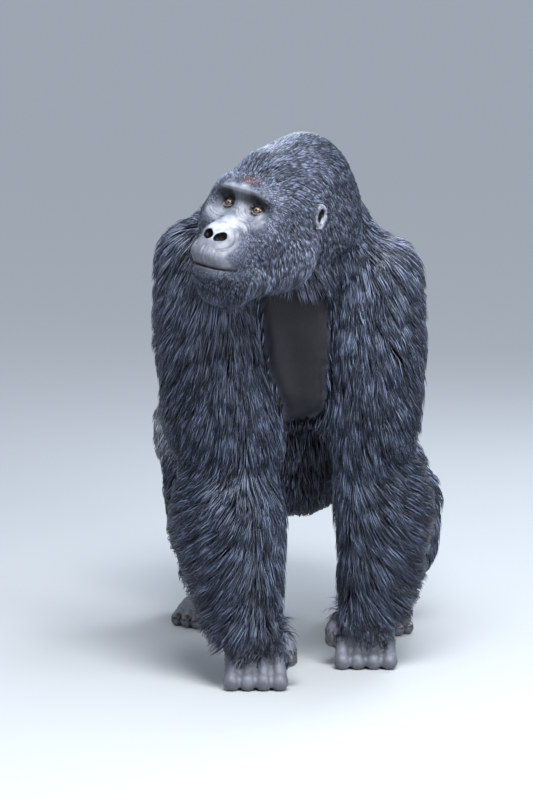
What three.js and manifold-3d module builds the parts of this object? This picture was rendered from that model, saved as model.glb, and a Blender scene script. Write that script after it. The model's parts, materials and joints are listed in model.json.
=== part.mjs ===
// A silverback mountain gorilla, life size, standing on its knuckles with its head turned to its right.
// Units are millimetres. +Z is up, the animal faces -Y, and its own left side is +X.
//
// Muscle, fat and coat are described as rounded masses that blend into each other. One surface is drawn
// round all of them, thin flat cuts part it where a limb, the neck or the head begins, and each piece
// between the cuts is one solid. The surface is that of the coat, out to the tips of the hair.
import * as THREE from "three";
import { SimplifyModifier } from "three/addons/modifiers/SimplifyModifier.js";
import Module from "manifold-3d";

const wasm = await Module();
wasm.setup();

const vec = (x, y, z) => new THREE.Vector3(x, y, z);
const mix = (a, b, t) => a.clone().lerp(b, t);

// ---- Driving dimensions ------------------------------------------------------------------------

const CUT = 0.5; // width of the thin cuts between two solids
const CLEARANCE = 0.4; // room round an eye or an ear in the head's socket

// The trunk, from the shoulders (y = 0) back to the rump.
const BACK_AT_SHOULDERS = vec(0, 130, 885);
const BACK_AT_RUMP = vec(-8, 640, 690);
const BACK_RADIUS = [145, 160];
const THORAX = { centre: vec(0, 165, 790), radii: vec(218, 190, 225) };
const BELLY = { centre: vec(0, 400, 580), radii: vec(240, 272, 284) };
const PELVIS = { centre: vec(-8, 735, 615), radii: vec(200, 165, 185) };
const BREAST = { centre: vec(62, 55, 710), radii: vec(82, 74, 160) };
const BUTTOCK = { centre: vec(108, 800, 560), radii: vec(128, 112, 145) };
const NECK = { base: vec(8, 75, 950), baseRadius: 150, top: vec(38, -62, 1052), topRadius: 112 };
const NAPE = { left: vec(82, 5, 990), right: vec(-108, 10, 1008), radius: 100 };

// Each arm, coat and all, as places down its length with the radius there: shoulder, mid upper arm,
// the fringe at the elbow, the waist under it, forearm, cuff and wrist. The knuckles carry the weight.
const ARMS = {
  right: {
    places: [
      [vec(-186, 5, 930), 122],
      [vec(-180, 5, 760), 122],
      [vec(-154, 20, 600), 134],
      [vec(-128, 24, 490), 118],
      [vec(-140, 0, 350), 136],
      [vec(-116, -30, 195), 108],
      [vec(-92, -60, 112), 82],
    ],
    knuckles: vec(-76, -104, 0),
  },
  left: {
    places: [
      [vec(186, 25, 893), 119],
      [vec(190, 32, 740), 113],
      [vec(188, 50, 610), 108],
      [vec(180, 72, 515), 100],
      [vec(214, 108, 370), 120],
      [vec(206, 138, 210), 102],
      [vec(184, 150, 112), 80],
    ],
    knuckles: vec(172, 112, 0),
  },
};
const ELBOW = 3; // the place in each list where the upper arm ends

// The hand stands on the backs of the middle finger bones.
const FINGER_SPACING = 35;
const FINGER_RADIUS = 19;
const FINGER_LENGTHS = [0.9, 1, 0.98, 0.84]; // index to little finger, as shares of the middle one
const MIDDLE_FINGER = {
  root: vec(0, 50, 88),
  knuckle: vec(0, 0, 18),
  pad: vec(0, 52, 15),
  tip: vec(0, 58, 44),
};
const PALM_RADIUS = 34;
const THUMB = { root: vec(62, 40, 118), tip: vec(76, 28, 62), radius: 17 };

// Each hind leg in the same way: hip, thigh, knee, calf and ankle, then the sole it stands on.
const LEGS = {
  right: {
    places: [
      [vec(-158, 745, 565), 140],
      [vec(-190, 720, 450), 138],
      [vec(-200, 595, 335), 98],
      [vec(-200, 690, 200), 84],
      [vec(-190, 752, 100), 62],
    ],
    sole: vec(-190, 690, 0),
    out: -12,
  },
  left: {
    places: [
      [vec(140, 725, 560), 138],
      [vec(175, 660, 440), 132],
      [vec(266, 530, 312), 100],
      [vec(262, 600, 195), 94],
      [vec(204, 655, 100), 62],
    ],
    sole: vec(206, 592, 0),
    out: 12,
  },
};
const KNEE = 2;

// The foot, seen from its sole's middle: it points to -Y, with the big toe on the inner side.
const HEEL = { centre: vec(0, 92, 40), radius: 44 };
const INSTEP = { start: vec(0, 62, 76), end: vec(0, -38, 44), radii: [52, 38] };
const FOREFOOT = { centre: vec(4, -40, 34), radii: vec(58, 62, 36) };
const TOE_SPACING = 25;
const TOE_RADIUS = 16;
const TOE_LENGTHS = [60, 66, 60, 48]; // second to little toe
const BIG_TOE = { root: vec(-38, 6, 34), tip: vec(-70, -78, 19), radii: [28, 22] };

// The head, in its own axes: +X its left, +Y its back, +Z its crown, from the middle between the eyes.
const HEAD_PLACE = vec(-91, -230, 1075);
const HEAD_FORWARD = vec(-0.634, -0.753, 0.173);
const HEAD_UP = vec(0.23, 0.029, 0.973);
const EYE = { centre: vec(40, -9, -2), radius: 12.5 };
const EAR = {
  centre: vec(114, 104, 14),
  radii: vec(13, 18, 27),
  tilt: 0.25,
  hollow: 0.64, // the size of the hollow, as a share of the ear
  hollowShift: vec(9, -3, 0),
};
const SKULL = { centre: vec(0, 76, 38), radii: vec(88, 104, 82) };

// Each surface is drawn on a grid of this step, then thinned to this many triangles, which stay
// closest together where the form is small.
const BODY_MESH = { step: 30, triangles: 2300 };
const VALLEY_MESH = { step: 36, triangles: 240 };
const HEAD_MESH = { step: 9, triangles: 1900 };
const HAND_MESH = { step: 9, triangles: 450 };
const FOOT_MESH = { step: 10, triangles: 380 };

const BODY_ROOM = { low: [-420, -420, -60], high: [420, 1000, 1300] };
const HEAD_ROOM = { low: [-190, -150, -250], high: [190, 320, 220], mesh: HEAD_MESH };
const HAND_ROOM = { low: [-130, -90, -30], high: [130, 170, 130], mesh: HAND_MESH };
const FOOT_ROOM = { low: [-130, -200, -30], high: [130, 180, 120], mesh: FOOT_MESH };
const UPRIGHT = vec(0, 0, 1);
const LIMB_REACH = 60; // how far outside a limb its share of the body is looked for
const HEAD_CUT = { centre: vec(38, -55, 1046), axis: vec(-0.2, -0.85, 0.45), radius: 340 };
const COLLAR_CUT = { centre: vec(15, 25, 960), axis: vec(0, -0.6, 0.8), radius: 330 };

// ---- Fields: the distance from a point to a mass, negative inside it ------------------------------

function ball(centre, radii) {
  return (p) => {
    const x = (p.x - centre.x) / radii.x;
    const y = (p.y - centre.y) / radii.y;
    const z = (p.z - centre.z) / radii.z;
    const near = Math.hypot(x, y, z);
    if (near < 1e-6) return -Math.min(radii.x, radii.y, radii.z);
    return (near * (near - 1)) / Math.hypot(x / radii.x, y / radii.y, z / radii.z);
  };
}

function bone(a, b, radiusA, radiusB = radiusA) {
  const along = b.clone().sub(a);
  const lengthSq = along.lengthSq();
  return (p) => {
    const t = THREE.MathUtils.clamp(
      ((p.x - a.x) * along.x + (p.y - a.y) * along.y + (p.z - a.z) * along.z) / lengthSq, 0, 1);
    const dx = p.x - a.x - along.x * t;
    const dy = p.y - a.y - along.y * t;
    const dz = p.z - a.z - along.z * t;
    return Math.hypot(dx, dy, dz) - (radiusA + (radiusB - radiusA) * t);
  };
}

// Joins masses with a rounded valley about blend wide between them.
function joined(blend, ...fields) {
  return (p) => {
    let d = Infinity;
    for (const field of fields) {
      const e = field(p);
      const h = Math.max(blend - Math.abs(d - e), 0) / blend;
      d = Math.min(d, e) - (Number.isFinite(d) ? h * h * blend * 0.25 : 0);
    }
    return d;
  };
}

// Presses the mass tool into field, with a rounded edge.
function pressed(blend, field, tool) {
  return (p) => {
    const a = field(p);
    const b = -tool(p);
    const h = Math.max(blend - Math.abs(a - b), 0) / blend;
    return Math.max(a, b) + h * h * blend * 0.25;
  };
}

const mirrored = (v) => vec(-v.x, v.y, v.z);
const bothSides = (make) => [make((v) => v), make(mirrored)];

// Turns a field given in a part's own axes into one in the body's.
function placed(matrix, field) {
  const inverse = matrix.clone().invert();
  const local = vec(0, 0, 0);
  return (p) => field(local.copy(p).applyMatrix4(inverse));
}

// ---- The masses of each region --------------------------------------------------------------------

function trunkField() {
  return joined(70,
    bone(BACK_AT_SHOULDERS, BACK_AT_RUMP, ...BACK_RADIUS),
    ball(THORAX.centre, THORAX.radii),
    ball(BELLY.centre, BELLY.radii),
    ball(PELVIS.centre, PELVIS.radii),
    ...bothSides((m) => ball(m(BREAST.centre), BREAST.radii)),
    ...bothSides((m) => ball(m(BUTTOCK.centre), BUTTOCK.radii)));
}

function neckField() {
  return joined(60,
    bone(NECK.base, NECK.top, NECK.baseRadius, NECK.topRadius),
    bone(NAPE.left, NAPE.right, NAPE.radius));
}

// A limb through its places, with the radius that each one gives.
function limbField(places) {
  const lengths = places.slice(1).map(([to, radius], i) => bone(places[i][0], to, places[i][1], radius));
  return joined(30, ...lengths);
}

function handMatrix(arm) {
  return new THREE.Matrix4().makeTranslation(arm.knuckles.x, arm.knuckles.y, 0);
}

function handField(arm) {
  const inner = -Math.sign(arm.knuckles.x); // +1 where the thumb is on the +X side
  const palmTop = arm.places.at(-1)[0].clone().applyMatrix4(handMatrix(arm).invert());
  const fields = [bone(palmTop, MIDDLE_FINGER.root, PALM_RADIUS + 14, PALM_RADIUS)];
  FINGER_LENGTHS.forEach((share, i) => {
    const across = inner * FINGER_SPACING * (1.5 - i);
    const at = (v) => vec(v.x + across, v.y * share, v.z);
    const root = vec(across * 0.92, MIDDLE_FINGER.root.y, MIDDLE_FINGER.root.z);
    fields.push(
      bone(mix(palmTop, root, 0.3), root, PALM_RADIUS * 0.8, FINGER_RADIUS + 4),
      bone(root, at(MIDDLE_FINGER.knuckle), FINGER_RADIUS + 2, FINGER_RADIUS + 2),
      bone(at(MIDDLE_FINGER.knuckle), at(MIDDLE_FINGER.pad), FINGER_RADIUS + 1, FINGER_RADIUS),
      bone(at(MIDDLE_FINGER.pad), at(MIDDLE_FINGER.tip), FINGER_RADIUS - 1, FINGER_RADIUS - 4));
  });
  const thumbAt = (v) => vec(v.x * inner, v.y, v.z);
  fields.push(bone(thumbAt(THUMB.root), thumbAt(THUMB.tip), THUMB.radius + 3, THUMB.radius));
  return placed(handMatrix(arm), joined(9, ...fields));
}

function footMatrix(leg) {
  return new THREE.Matrix4()
    .makeRotationZ(THREE.MathUtils.degToRad(leg.out))
    .setPosition(leg.sole.x, leg.sole.y, 0);
}

function footField(leg) {
  const outer = Math.sign(leg.sole.x); // +1 where the little toe is on the +X side
  const at = (v) => vec(v.x * outer, v.y, v.z);
  const ankle = leg.places.at(-1)[0].clone().applyMatrix4(footMatrix(leg).invert());
  const fields = [
    ball(at(HEEL.centre), vec(HEEL.radius, HEEL.radius * 1.15, HEEL.radius)),
    bone(at(INSTEP.start), at(INSTEP.end), ...INSTEP.radii),
    ball(at(FOREFOOT.centre), FOREFOOT.radii),
    bone(ankle, at(INSTEP.start), leg.places.at(-1)[1], INSTEP.radii[0]),
    bone(at(BIG_TOE.root), at(BIG_TOE.tip), ...BIG_TOE.radii),
  ];
  TOE_LENGTHS.forEach((length, i) => {
    const across = TOE_SPACING * (i - 1.05);
    const root = vec(across, -82 + 7 * i, 28);
    const tip = vec(across * 1.12, root.y - length, 14);
    fields.push(bone(at(root), at(tip), TOE_RADIUS + 3, TOE_RADIUS - 1));
  });
  return placed(footMatrix(leg), joined(10, ...fields));
}

// The head: skull and jaw muscles under a dense coat, and the bare face with its brow, nose and muzzle.
function headField() {
  const skull = joined(55,
    ball(SKULL.centre, SKULL.radii),
    bone(vec(0, 50, 72), vec(-5, 152, 92), 54, 75), // the crest along the crown
    bone(vec(-5, 152, 92), vec(0, 238, -32), 75, 84), // the nape muscles behind it
    ...bothSides((m) => bone(m(vec(20, 185, 74)), m(vec(18, 225, 10)), 68, 82)),
    ...bothSides((m) => bone(m(vec(52, 70, 10)), m(vec(62, 84, -92)), 58, 62)), // jaw muscles and whiskers
    ...bothSides((m) => bone(m(vec(62, 84, -92)), m(vec(22, -12, -164)), 58, 50))); // whiskers along the jaw
  const brow = joined(14,
    ...bothSides((m) => bone(m(vec(0, -20, 34)), m(vec(48, -15, 34)), 14, 16)),
    ...bothSides((m) => bone(m(vec(48, -15, 34)), m(vec(73, 5, 19)), 16, 17)));
  const cheeks = joined(25,
    ...bothSides((m) => bone(m(vec(66, 14, 4)), m(vec(46, 2, -40)), 20, 30)),
    ...bothSides((m) => ball(m(vec(74, -4, -46)), vec(41, 38, 57))), // the full coat beside the nose
    ...bothSides((m) => ball(m(vec(71, 8, 10)), vec(36, 32, 44))), // and beside the eyes
    ball(vec(0, 4, -30), vec(52, 30, 44)));
  const upperJaw = joined(26,
    bone(vec(0, -4, -4), vec(0, -38, -56), 17, 26), // the bridge
    ball(vec(0, -34, -100), vec(60, 62, 44)),
    ball(vec(0, -62, -114), vec(60, 50, 29))); // the upper lip
  const lowerJaw = joined(26,
    ball(vec(0, -53, -152), vec(58, 49, 25)), // the lower lip
    ball(vec(0, -28, -180), vec(54, 52, 32))); // the chin
  const muzzle = joined(8, upperJaw, lowerJaw);
  const nose = joined(12,
    bone(vec(0, -42, -50), vec(0, -58, -68), 18, 19),
    ...bothSides((m) => ball(m(vec(26, -55, -70)), vec(21, 24, 19))));
  const flesh = joined(20, joined(34, joined(34, skull, cheeks), muzzle), brow, nose);
  const sockets = joined(6, ...bothSides((m) => ball(m(vec(40, -37, 3)), vec(25, 24, 21))));
  const nostrils = joined(3, ...bothSides((m) => bone(m(vec(9, -84, -76)), m(vec(27, -72, -70)), 8, 7)));
  return pressed(5, pressed(12, flesh, sockets), nostrils);
}

// ---- Surfaces: a closed mesh where a field is zero --------------------------------------------------

// Grid lines from low to high, step apart.
const gridLines = (low, high, step) =>
  Array.from({ length: Math.ceil((high - low) / step) + 1 }, (_, i) => low + i * step);
const gridOf = (low, high, step) => [0, 1, 2].map((axis) => gridLines(low[axis], high[axis], step));

// The twelve edges of a grid cell: a corner and the axis that the edge leaves it along.
const AXES = [[1, 0, 0], [0, 1, 0], [0, 0, 1]];
const CORNERS = [0, 1, 2, 3, 4, 5, 6, 7].map((c) => [c & 1, (c >> 1) & 1, (c >> 2) & 1]);
const EDGES = CORNERS.flatMap((corner) =>
  [0, 1, 2].filter((axis) => !corner[axis]).map((axis) => ({ corner, axis })));
const edgeKey = (corner, axis) => (corner[2] * 4 + corner[1] * 2 + corner[0]) * 3 + axis;
const stepped = (at, axis) => at.map((x, i) => x + AXES[axis][i]);

// Groups the crossed edges of a cell into the separate sheets of surface that pass through it. On each
// face of the cell two crossed edges belong together where they meet at a corner inside the solid, or
// where the face has only these two.
function sheetsOf(inside) {
  const crossed = EDGES.filter(({ corner, axis }) => inside(corner) !== inside(stepped(corner, axis)));
  const sheet = new Map(crossed.map((edge, n) => [edgeKey(edge.corner, edge.axis), n]));
  const unite = (a, b) => {
    const from = sheet.get(a);
    const to = sheet.get(b);
    for (const [key, n] of sheet) if (n === from) sheet.set(key, to);
  };
  for (let across = 0; across < 3; across++)
    for (let level = 0; level < 2; level++) {
      const [s, t] = [(across + 1) % 3, (across + 2) % 3];
      const onFace = (ds, dt) => {
        const corner = [0, 0, 0];
        corner[across] = level;
        corner[s] = ds;
        corner[t] = dt;
        return corner;
      };
      const sides = [
        { key: edgeKey(onFace(0, 0), s), ends: [[0, 0], [1, 0]] },
        { key: edgeKey(onFace(0, 1), s), ends: [[0, 1], [1, 1]] },
        { key: edgeKey(onFace(0, 0), t), ends: [[0, 0], [0, 1]] },
        { key: edgeKey(onFace(1, 0), t), ends: [[1, 0], [1, 1]] },
      ].filter(({ key }) => sheet.has(key));
      for (const a of sides)
        for (const b of sides) {
          const shared = a.ends.find(([ds, dt]) => b.ends.some((end) => end[0] === ds && end[1] === dt));
          if (sides.length === 2 || (a !== b && shared && inside(onFace(...shared)))) unite(a.key, b.key);
        }
    }
  return sheet;
}

// Draws the surface through the cells of a grid that fills a room along matrix's axes: a point to each
// sheet in a cell and a square to each crossed edge. Its points are pulled onto the field's zero, and
// the mesh is then thinned.
async function surface(field, { low, high }, mesh, matrix = new THREE.Matrix4()) {
  const lines = gridOf(low, high, mesh.step);
  const size = lines.map((l) => l.length);
  const place = ([i, j, k]) => vec(lines[0][i], lines[1][j], lines[2][k]);
  const index = ([i, j, k]) => (k * size[1] + j) * size[0] + i;
  const isRim = (at) => at.some((n, axis) => n === 0 || n === size[axis] - 1);
  const eachPlace = (visit) => {
    for (let k = 0; k < size[2]; k++)
      for (let j = 0; j < size[1]; j++)
        for (let i = 0; i < size[0]; i++) visit([i, j, k]);
  };
  const value = new Float32Array(size[0] * size[1] * size[2]);
  eachPlace((at) => {
    value[index(at)] = isRim(at) ? 1 : field(place(at).applyMatrix4(matrix));
  });

  const points = [];
  const pointOf = new Map();
  eachPlace((at) => {
    if (at.some((n, axis) => n === size[axis] - 1)) return;
    const valueAt = (corner) => value[index(corner.map((x, i) => x + at[i]))];
    const first = valueAt(CORNERS[0]) < 0;
    if (CORNERS.every((corner) => valueAt(corner) < 0 === first)) return;
    const sheet = sheetsOf((corner) => valueAt(corner) < 0);
    for (const n of new Set(sheet.values())) {
      const crossings = EDGES.filter(({ corner, axis }) => sheet.get(edgeKey(corner, axis)) === n);
      const sum = vec(0, 0, 0);
      for (const { corner, axis } of crossings) {
        const far = stepped(corner, axis);
        const [va, vb] = [valueAt(corner), valueAt(far)];
        const ends = [corner, far].map((c) => place(c.map((x, i) => x + at[i])));
        sum.add(mix(...ends, va / (va - vb)));
        pointOf.set(index(at) * 24 + edgeKey(corner, axis), points.length);
      }
      points.push(sum.divideScalar(crossings.length).applyMatrix4(matrix));
    }
  });

  const triangles = [];
  eachPlace((at) => {
    for (let axis = 0; axis < 3; axis++) {
      const [s, t] = [(axis + 1) % 3, (axis + 2) % 3];
      const inside = value[index(at)] < 0;
      if (at[axis] === size[axis] - 1 || inside === value[index(stepped(at, axis))] < 0) continue;
      const square = [[0, 0], [1, 0], [1, 1], [0, 1]].map(([ds, dt]) => {
        const corner = [0, 0, 0];
        corner[s] = ds;
        corner[t] = dt;
        return pointOf.get(index(at.map((x, i) => x - corner[i])) * 24 + edgeKey(corner, axis));
      });
      if (!inside) square.reverse();
      const [a, b, c, d] = square;
      const isShortAcross = points[a].distanceTo(points[c]) < points[b].distanceTo(points[d]);
      triangles.push(...(isShortAcross ? [a, b, c, a, c, d] : [b, c, d, b, d, a]));
    }
  });
  pullOntoField(points, field, mesh.step * 0.4);
  const geometry = new THREE.BufferGeometry().setFromPoints(points);
  geometry.setIndex(new THREE.BufferAttribute(new Uint32Array(triangles), 1));
  const surplus = Math.max(0, 1 - (mesh.triangles * 3) / triangles.length) * points.length;
  return new SimplifyModifier().modify(geometry, surplus);
}

// A surface as a solid, with its points moved outwards by grow.
function solidIn(geometry, field, grow = 0) {
  const at = geometry.getAttribute("position");
  const positions = [];
  for (let i = 0; i < at.count; i++) {
    const p = vec(at.getX(i), at.getY(i), at.getZ(i));
    if (grow) p.addScaledVector(slopeOf(field, p).normalize(), grow);
    positions.push(...p.toArray());
  }
  return solidOf(positions, geometry.index.array);
}

// The way and the rate at which a field grows at a place.
function slopeOf(field, p) {
  const e = 0.5;
  const across = (x, y, z) =>
    (field(vec(p.x + x, p.y + y, p.z + z)) - field(vec(p.x - x, p.y - y, p.z - z))) / (2 * e);
  return vec(across(e, 0, 0), across(0, e, 0), across(0, 0, e));
}

function pullOntoField(points, field, most) {
  for (const p of points)
    for (let turn = 0; turn < 3; turn++) {
      const slope = slopeOf(field, p);
      const step = THREE.MathUtils.clamp(field(p) / Math.max(slope.lengthSq(), 0.2), -most, most);
      p.addScaledVector(slope, -step);
    }
}

// ---- Solids and cuts --------------------------------------------------------------------------------

function solidOf(positions, triangles) {
  return new wasm.Manifold(new wasm.Mesh({
    numProp: 3,
    vertProperties: new Float32Array(positions),
    triVerts: new Uint32Array(triangles),
  }));
}

// A three.js geometry as a solid: points that share a place become one point.
function solidFrom(geometry, matrix) {
  const flat = geometry.toNonIndexed().applyMatrix4(matrix).getAttribute("position").array;
  const seen = new Map();
  const positions = [];
  const corners = [];
  for (let i = 0; i < flat.length; i += 3) {
    const key = [flat[i], flat[i + 1], flat[i + 2]].map((x) => Math.round(x * 1e3)).join();
    if (!seen.has(key)) {
      seen.set(key, positions.length / 3);
      positions.push(flat[i], flat[i + 1], flat[i + 2]);
    }
    corners.push(seen.get(key));
  }
  const triangles = [];
  for (let i = 0; i < corners.length; i += 3) {
    const [a, b, c] = corners.slice(i, i + 3);
    if (a !== b && b !== c && c !== a) triangles.push(a, b, c);
  }
  return solidOf(positions, triangles);
}

// A thin disc across a limb at centre, square to axis.
function cutDisc(centre, axis, radius) {
  const turn = new THREE.Quaternion().setFromUnitVectors(vec(0, 1, 0), axis.clone().normalize());
  const matrix = new THREE.Matrix4().compose(centre, turn, vec(1, 1, 1));
  return solidFrom(new THREE.CylinderGeometry(radius, radius, CUT, 24), matrix);
}

function egg(centre, radii, matrix, grow = 0, tilt = 0) {
  const local = new THREE.Matrix4().compose(
    centre,
    new THREE.Quaternion().setFromAxisAngle(vec(1, 0, 0), tilt),
    vec(radii.x + grow, radii.y + grow, radii.z + grow));
  return solidFrom(new THREE.SphereGeometry(1, 9, 6), matrix.clone().multiply(local));
}

// Everything under the floor, where the hands and feet are flat.
const ground = solidFrom(new THREE.BoxGeometry(4000, 4000, 400), new THREE.Matrix4().setPosition(0, 0, -200));

function meshOf(name, solid, material) {
  const made = solid.getMesh();
  const geometry = new THREE.BufferGeometry()
    .setAttribute("position", new THREE.BufferAttribute(new Float32Array(made.vertProperties), 3))
    .setIndex(new THREE.BufferAttribute(new Uint32Array(made.triVerts), 1));
  geometry.computeVertexNormals();
  const mesh = new THREE.Mesh(geometry, material);
  mesh.name = name;
  return mesh;
}

// The pieces of a solid, each under the name of the seed point that lies in it.
function namedPieces(solid, seeds) {
  const pieces = solid.decompose();
  return Object.entries(seeds).map(([name, seed]) => {
    const probe = egg(seed, vec(2, 2, 2), new THREE.Matrix4());
    const found = pieces.find((piece) => piece.intersect(probe).volume() > 0);
    if (!found) throw new Error("no piece holds the seed of " + name);
    return [name, found];
  });
}

// ---- The animal ---------------------------------------------------------------------------------------

const headMatrix = new THREE.Matrix4();
{
  const back = HEAD_FORWARD.clone().negate().normalize();
  const left = back.clone().cross(HEAD_UP).normalize();
  headMatrix.makeBasis(left, back, left.clone().cross(back)).setPosition(HEAD_PLACE);
}
const head = placed(headMatrix, headField());
const arms = Object.values(ARMS).map((arm) => limbField(arm.places));
const legs = Object.values(LEGS).map((leg) => limbField(leg.places));
const trunk = joined(60, trunkField(), neckField());
const torso = joined(60, trunk, ...legs);
const body = joined(34, joined(45, torso, ...arms), head);
const ends = [...Object.values(ARMS).map(handField), ...Object.values(LEGS).map(footField)];
const whole = joined(16, body, ...ends);

const FUR = new THREE.MeshStandardMaterial({ color: 0x17181c, roughness: 0.85, metalness: 0 });
const SILVER_FUR = new THREE.MeshStandardMaterial({ color: 0x4a4a4d, roughness: 0.85, metalness: 0 });
const BARE_SKIN = new THREE.MeshStandardMaterial({ color: 0x25262b, roughness: 0.5, metalness: 0 });
const EYE_GLASS = new THREE.MeshStandardMaterial({ color: 0x4a2a14, roughness: 0.08, metalness: 0 });

const animal = new THREE.Group();
const add = (name, solid, material) => animal.add(meshOf(name, solid, material));
const cutBy = (solid, cuts) => cuts.reduce((remains, cut) => remains.subtract(cut), solid);

// Parts from a solid what lies nearer to one mass than to the others: gives the piece, what remains,
// and the cut.
async function parted(solid, limb, others) {
  const nearer = (p) => Math.max(limb(p) - others(p), limb(p) - LIMB_REACH);
  const valley = await surface(nearer, BODY_ROOM, VALLEY_MESH);
  const cut = solidIn(valley, nearer, CUT / 2);
  return [solid.intersect(solidIn(valley, nearer, -CUT / 2)), solid.subtract(cut), cut];
}

// Adds a hand or a foot, drawn finely in a room of its own under the end of its limb.
async function addExtremity(name, seed, { low, high, mesh }, matrix, endCut) {
  const drawn = await surface(whole, { low, high }, mesh, matrix);
  const pieces = cutBy(solidIn(drawn, whole), [endCut, ground]);
  for (const [key, piece] of namedPieces(pieces, { [name]: seed.applyMatrix4(matrix) })) {
    add(key, piece, BARE_SKIN);
  }
}

// The limbs leave the trunk at the valleys between their masses, and discs part them at their joints.
let remains = solidIn(await surface(whole, BODY_ROOM, BODY_MESH), whole);
const shoulderCuts = [];
for (const [side, arm] of Object.entries(ARMS)) {
  const { places } = arm;
  const [upper, elbow, lower, wrist] = [1, ELBOW, ELBOW + 1, places.length - 1].map((n) => places[n][0]);
  const elbowCut = cutDisc(elbow, places[ELBOW - 1][0].clone().sub(lower), 200);
  const wristCut = cutDisc(wrist, UPRIGHT, 200);
  const [limb, rest, shoulderCut] = await parted(remains, limbField(places), torso);
  remains = rest;
  shoulderCuts.push(shoulderCut);
  const seeds = { ["upper_arm_" + side]: upper, ["forearm_" + side]: lower };
  for (const [name, piece] of namedPieces(cutBy(limb, [elbowCut, wristCut]), seeds)) add(name, piece, FUR);
  await addExtremity("hand_" + side, MIDDLE_FINGER.root.clone(), HAND_ROOM, handMatrix(arm), wristCut);
}
for (const [side, leg] of Object.entries(LEGS)) {
  const { places } = leg;
  const [thigh, knee, calf, ankle] = [KNEE - 1, KNEE, KNEE + 1, places.length - 1].map((n) => places[n][0]);
  const kneeCut = cutDisc(mix(knee, calf, 0.4), UPRIGHT, 240);
  const ankleCut = cutDisc(ankle, UPRIGHT, 200);
  const [limb, rest] = await parted(remains, limbField(places), trunk);
  remains = rest;
  const seeds = { ["thigh_" + side]: thigh, ["shank_" + side]: calf };
  for (const [name, piece] of namedPieces(cutBy(limb, [kneeCut, ankleCut]), seeds)) add(name, piece, FUR);
  await addExtremity("foot_" + side, INSTEP.start.clone(), FOOT_ROOM, footMatrix(leg), ankleCut);
}

// The trunk and the neck.
const headCut = cutDisc(HEAD_CUT.centre, HEAD_CUT.axis, HEAD_CUT.radius);
const collarCut = cutDisc(COLLAR_CUT.centre, COLLAR_CUT.axis, COLLAR_CUT.radius);
const torsoSeeds = { trunk: BELLY.centre, neck: mix(NECK.base, NECK.top, 0.65) };
for (const [name, piece] of namedPieces(cutBy(remains, [headCut, collarCut]), torsoSeeds)) {
  add(name, piece, name === "trunk" ? SILVER_FUR : FUR);
}

// The head, drawn finely, with a socket for each eye and each ear.
const headSurface = await surface(whole, HEAD_ROOM, HEAD_ROOM.mesh, headMatrix);
const sockets = [];
for (const [side, turn] of [["left", (v) => v], ["right", mirrored]]) {
  const eyeRadii = vec(EYE.radius, EYE.radius, EYE.radius);
  const bowl = EAR.radii.clone().multiplyScalar(EAR.hollow);
  const bowlCut = egg(turn(EAR.centre.clone().add(EAR.hollowShift)), bowl, headMatrix, 0, EAR.tilt);
  add("eye_" + side, egg(turn(EYE.centre), eyeRadii, headMatrix), EYE_GLASS);
  add("ear_" + side, egg(turn(EAR.centre), EAR.radii, headMatrix, 0, EAR.tilt).subtract(bowlCut), BARE_SKIN);
  sockets.push(
    egg(turn(EYE.centre), eyeRadii, headMatrix, CLEARANCE),
    egg(turn(EAR.centre), EAR.radii, headMatrix, CLEARANCE, EAR.tilt));
}
const headSolid = cutBy(solidIn(headSurface, whole), [headCut, ...shoulderCuts, ...sockets]);
const headSeed = { head: SKULL.centre.clone().applyMatrix4(headMatrix) };
for (const [name, piece] of namedPieces(headSolid, headSeed)) add(name, piece, FUR);

// The origin lies on the floor under the middle of the animal.
const box = new THREE.Box3().setFromObject(animal);
animal.position.set(-(box.min.x + box.max.x) / 2, -(box.min.y + box.max.y) / 2, -box.min.z);
animal.updateMatrixWorld(true);

export default animal;
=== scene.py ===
"""Looks of a silverback mountain gorilla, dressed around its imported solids.

One skin is drawn inside the solids of flesh, by the depth of the coat at each place. Its face, ears, hands
and feet are sculpted finely, and tapered locks of hair are combed over the rest in the lie of the coat.

Places on the head are in millimetres from the middle between the eyes, with +X to the animal's left,
+Y to its back and +Z to its crown. Places on the body are in millimetres too, with +X to its left,
+Y to its back, +Z up and z = 0 on the floor. Everything handed to Blender is in metres.
"""

from __future__ import annotations

import json
import logging
import math
import sys
from dataclasses import dataclass, field
from enum import Enum
from typing import Callable, Sequence

import bmesh
import bpy
import numpy as np
import openvdb as vdb
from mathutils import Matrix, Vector
from mathutils.bvhtree import BVHTree
from mathutils.kdtree import KDTree

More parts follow.
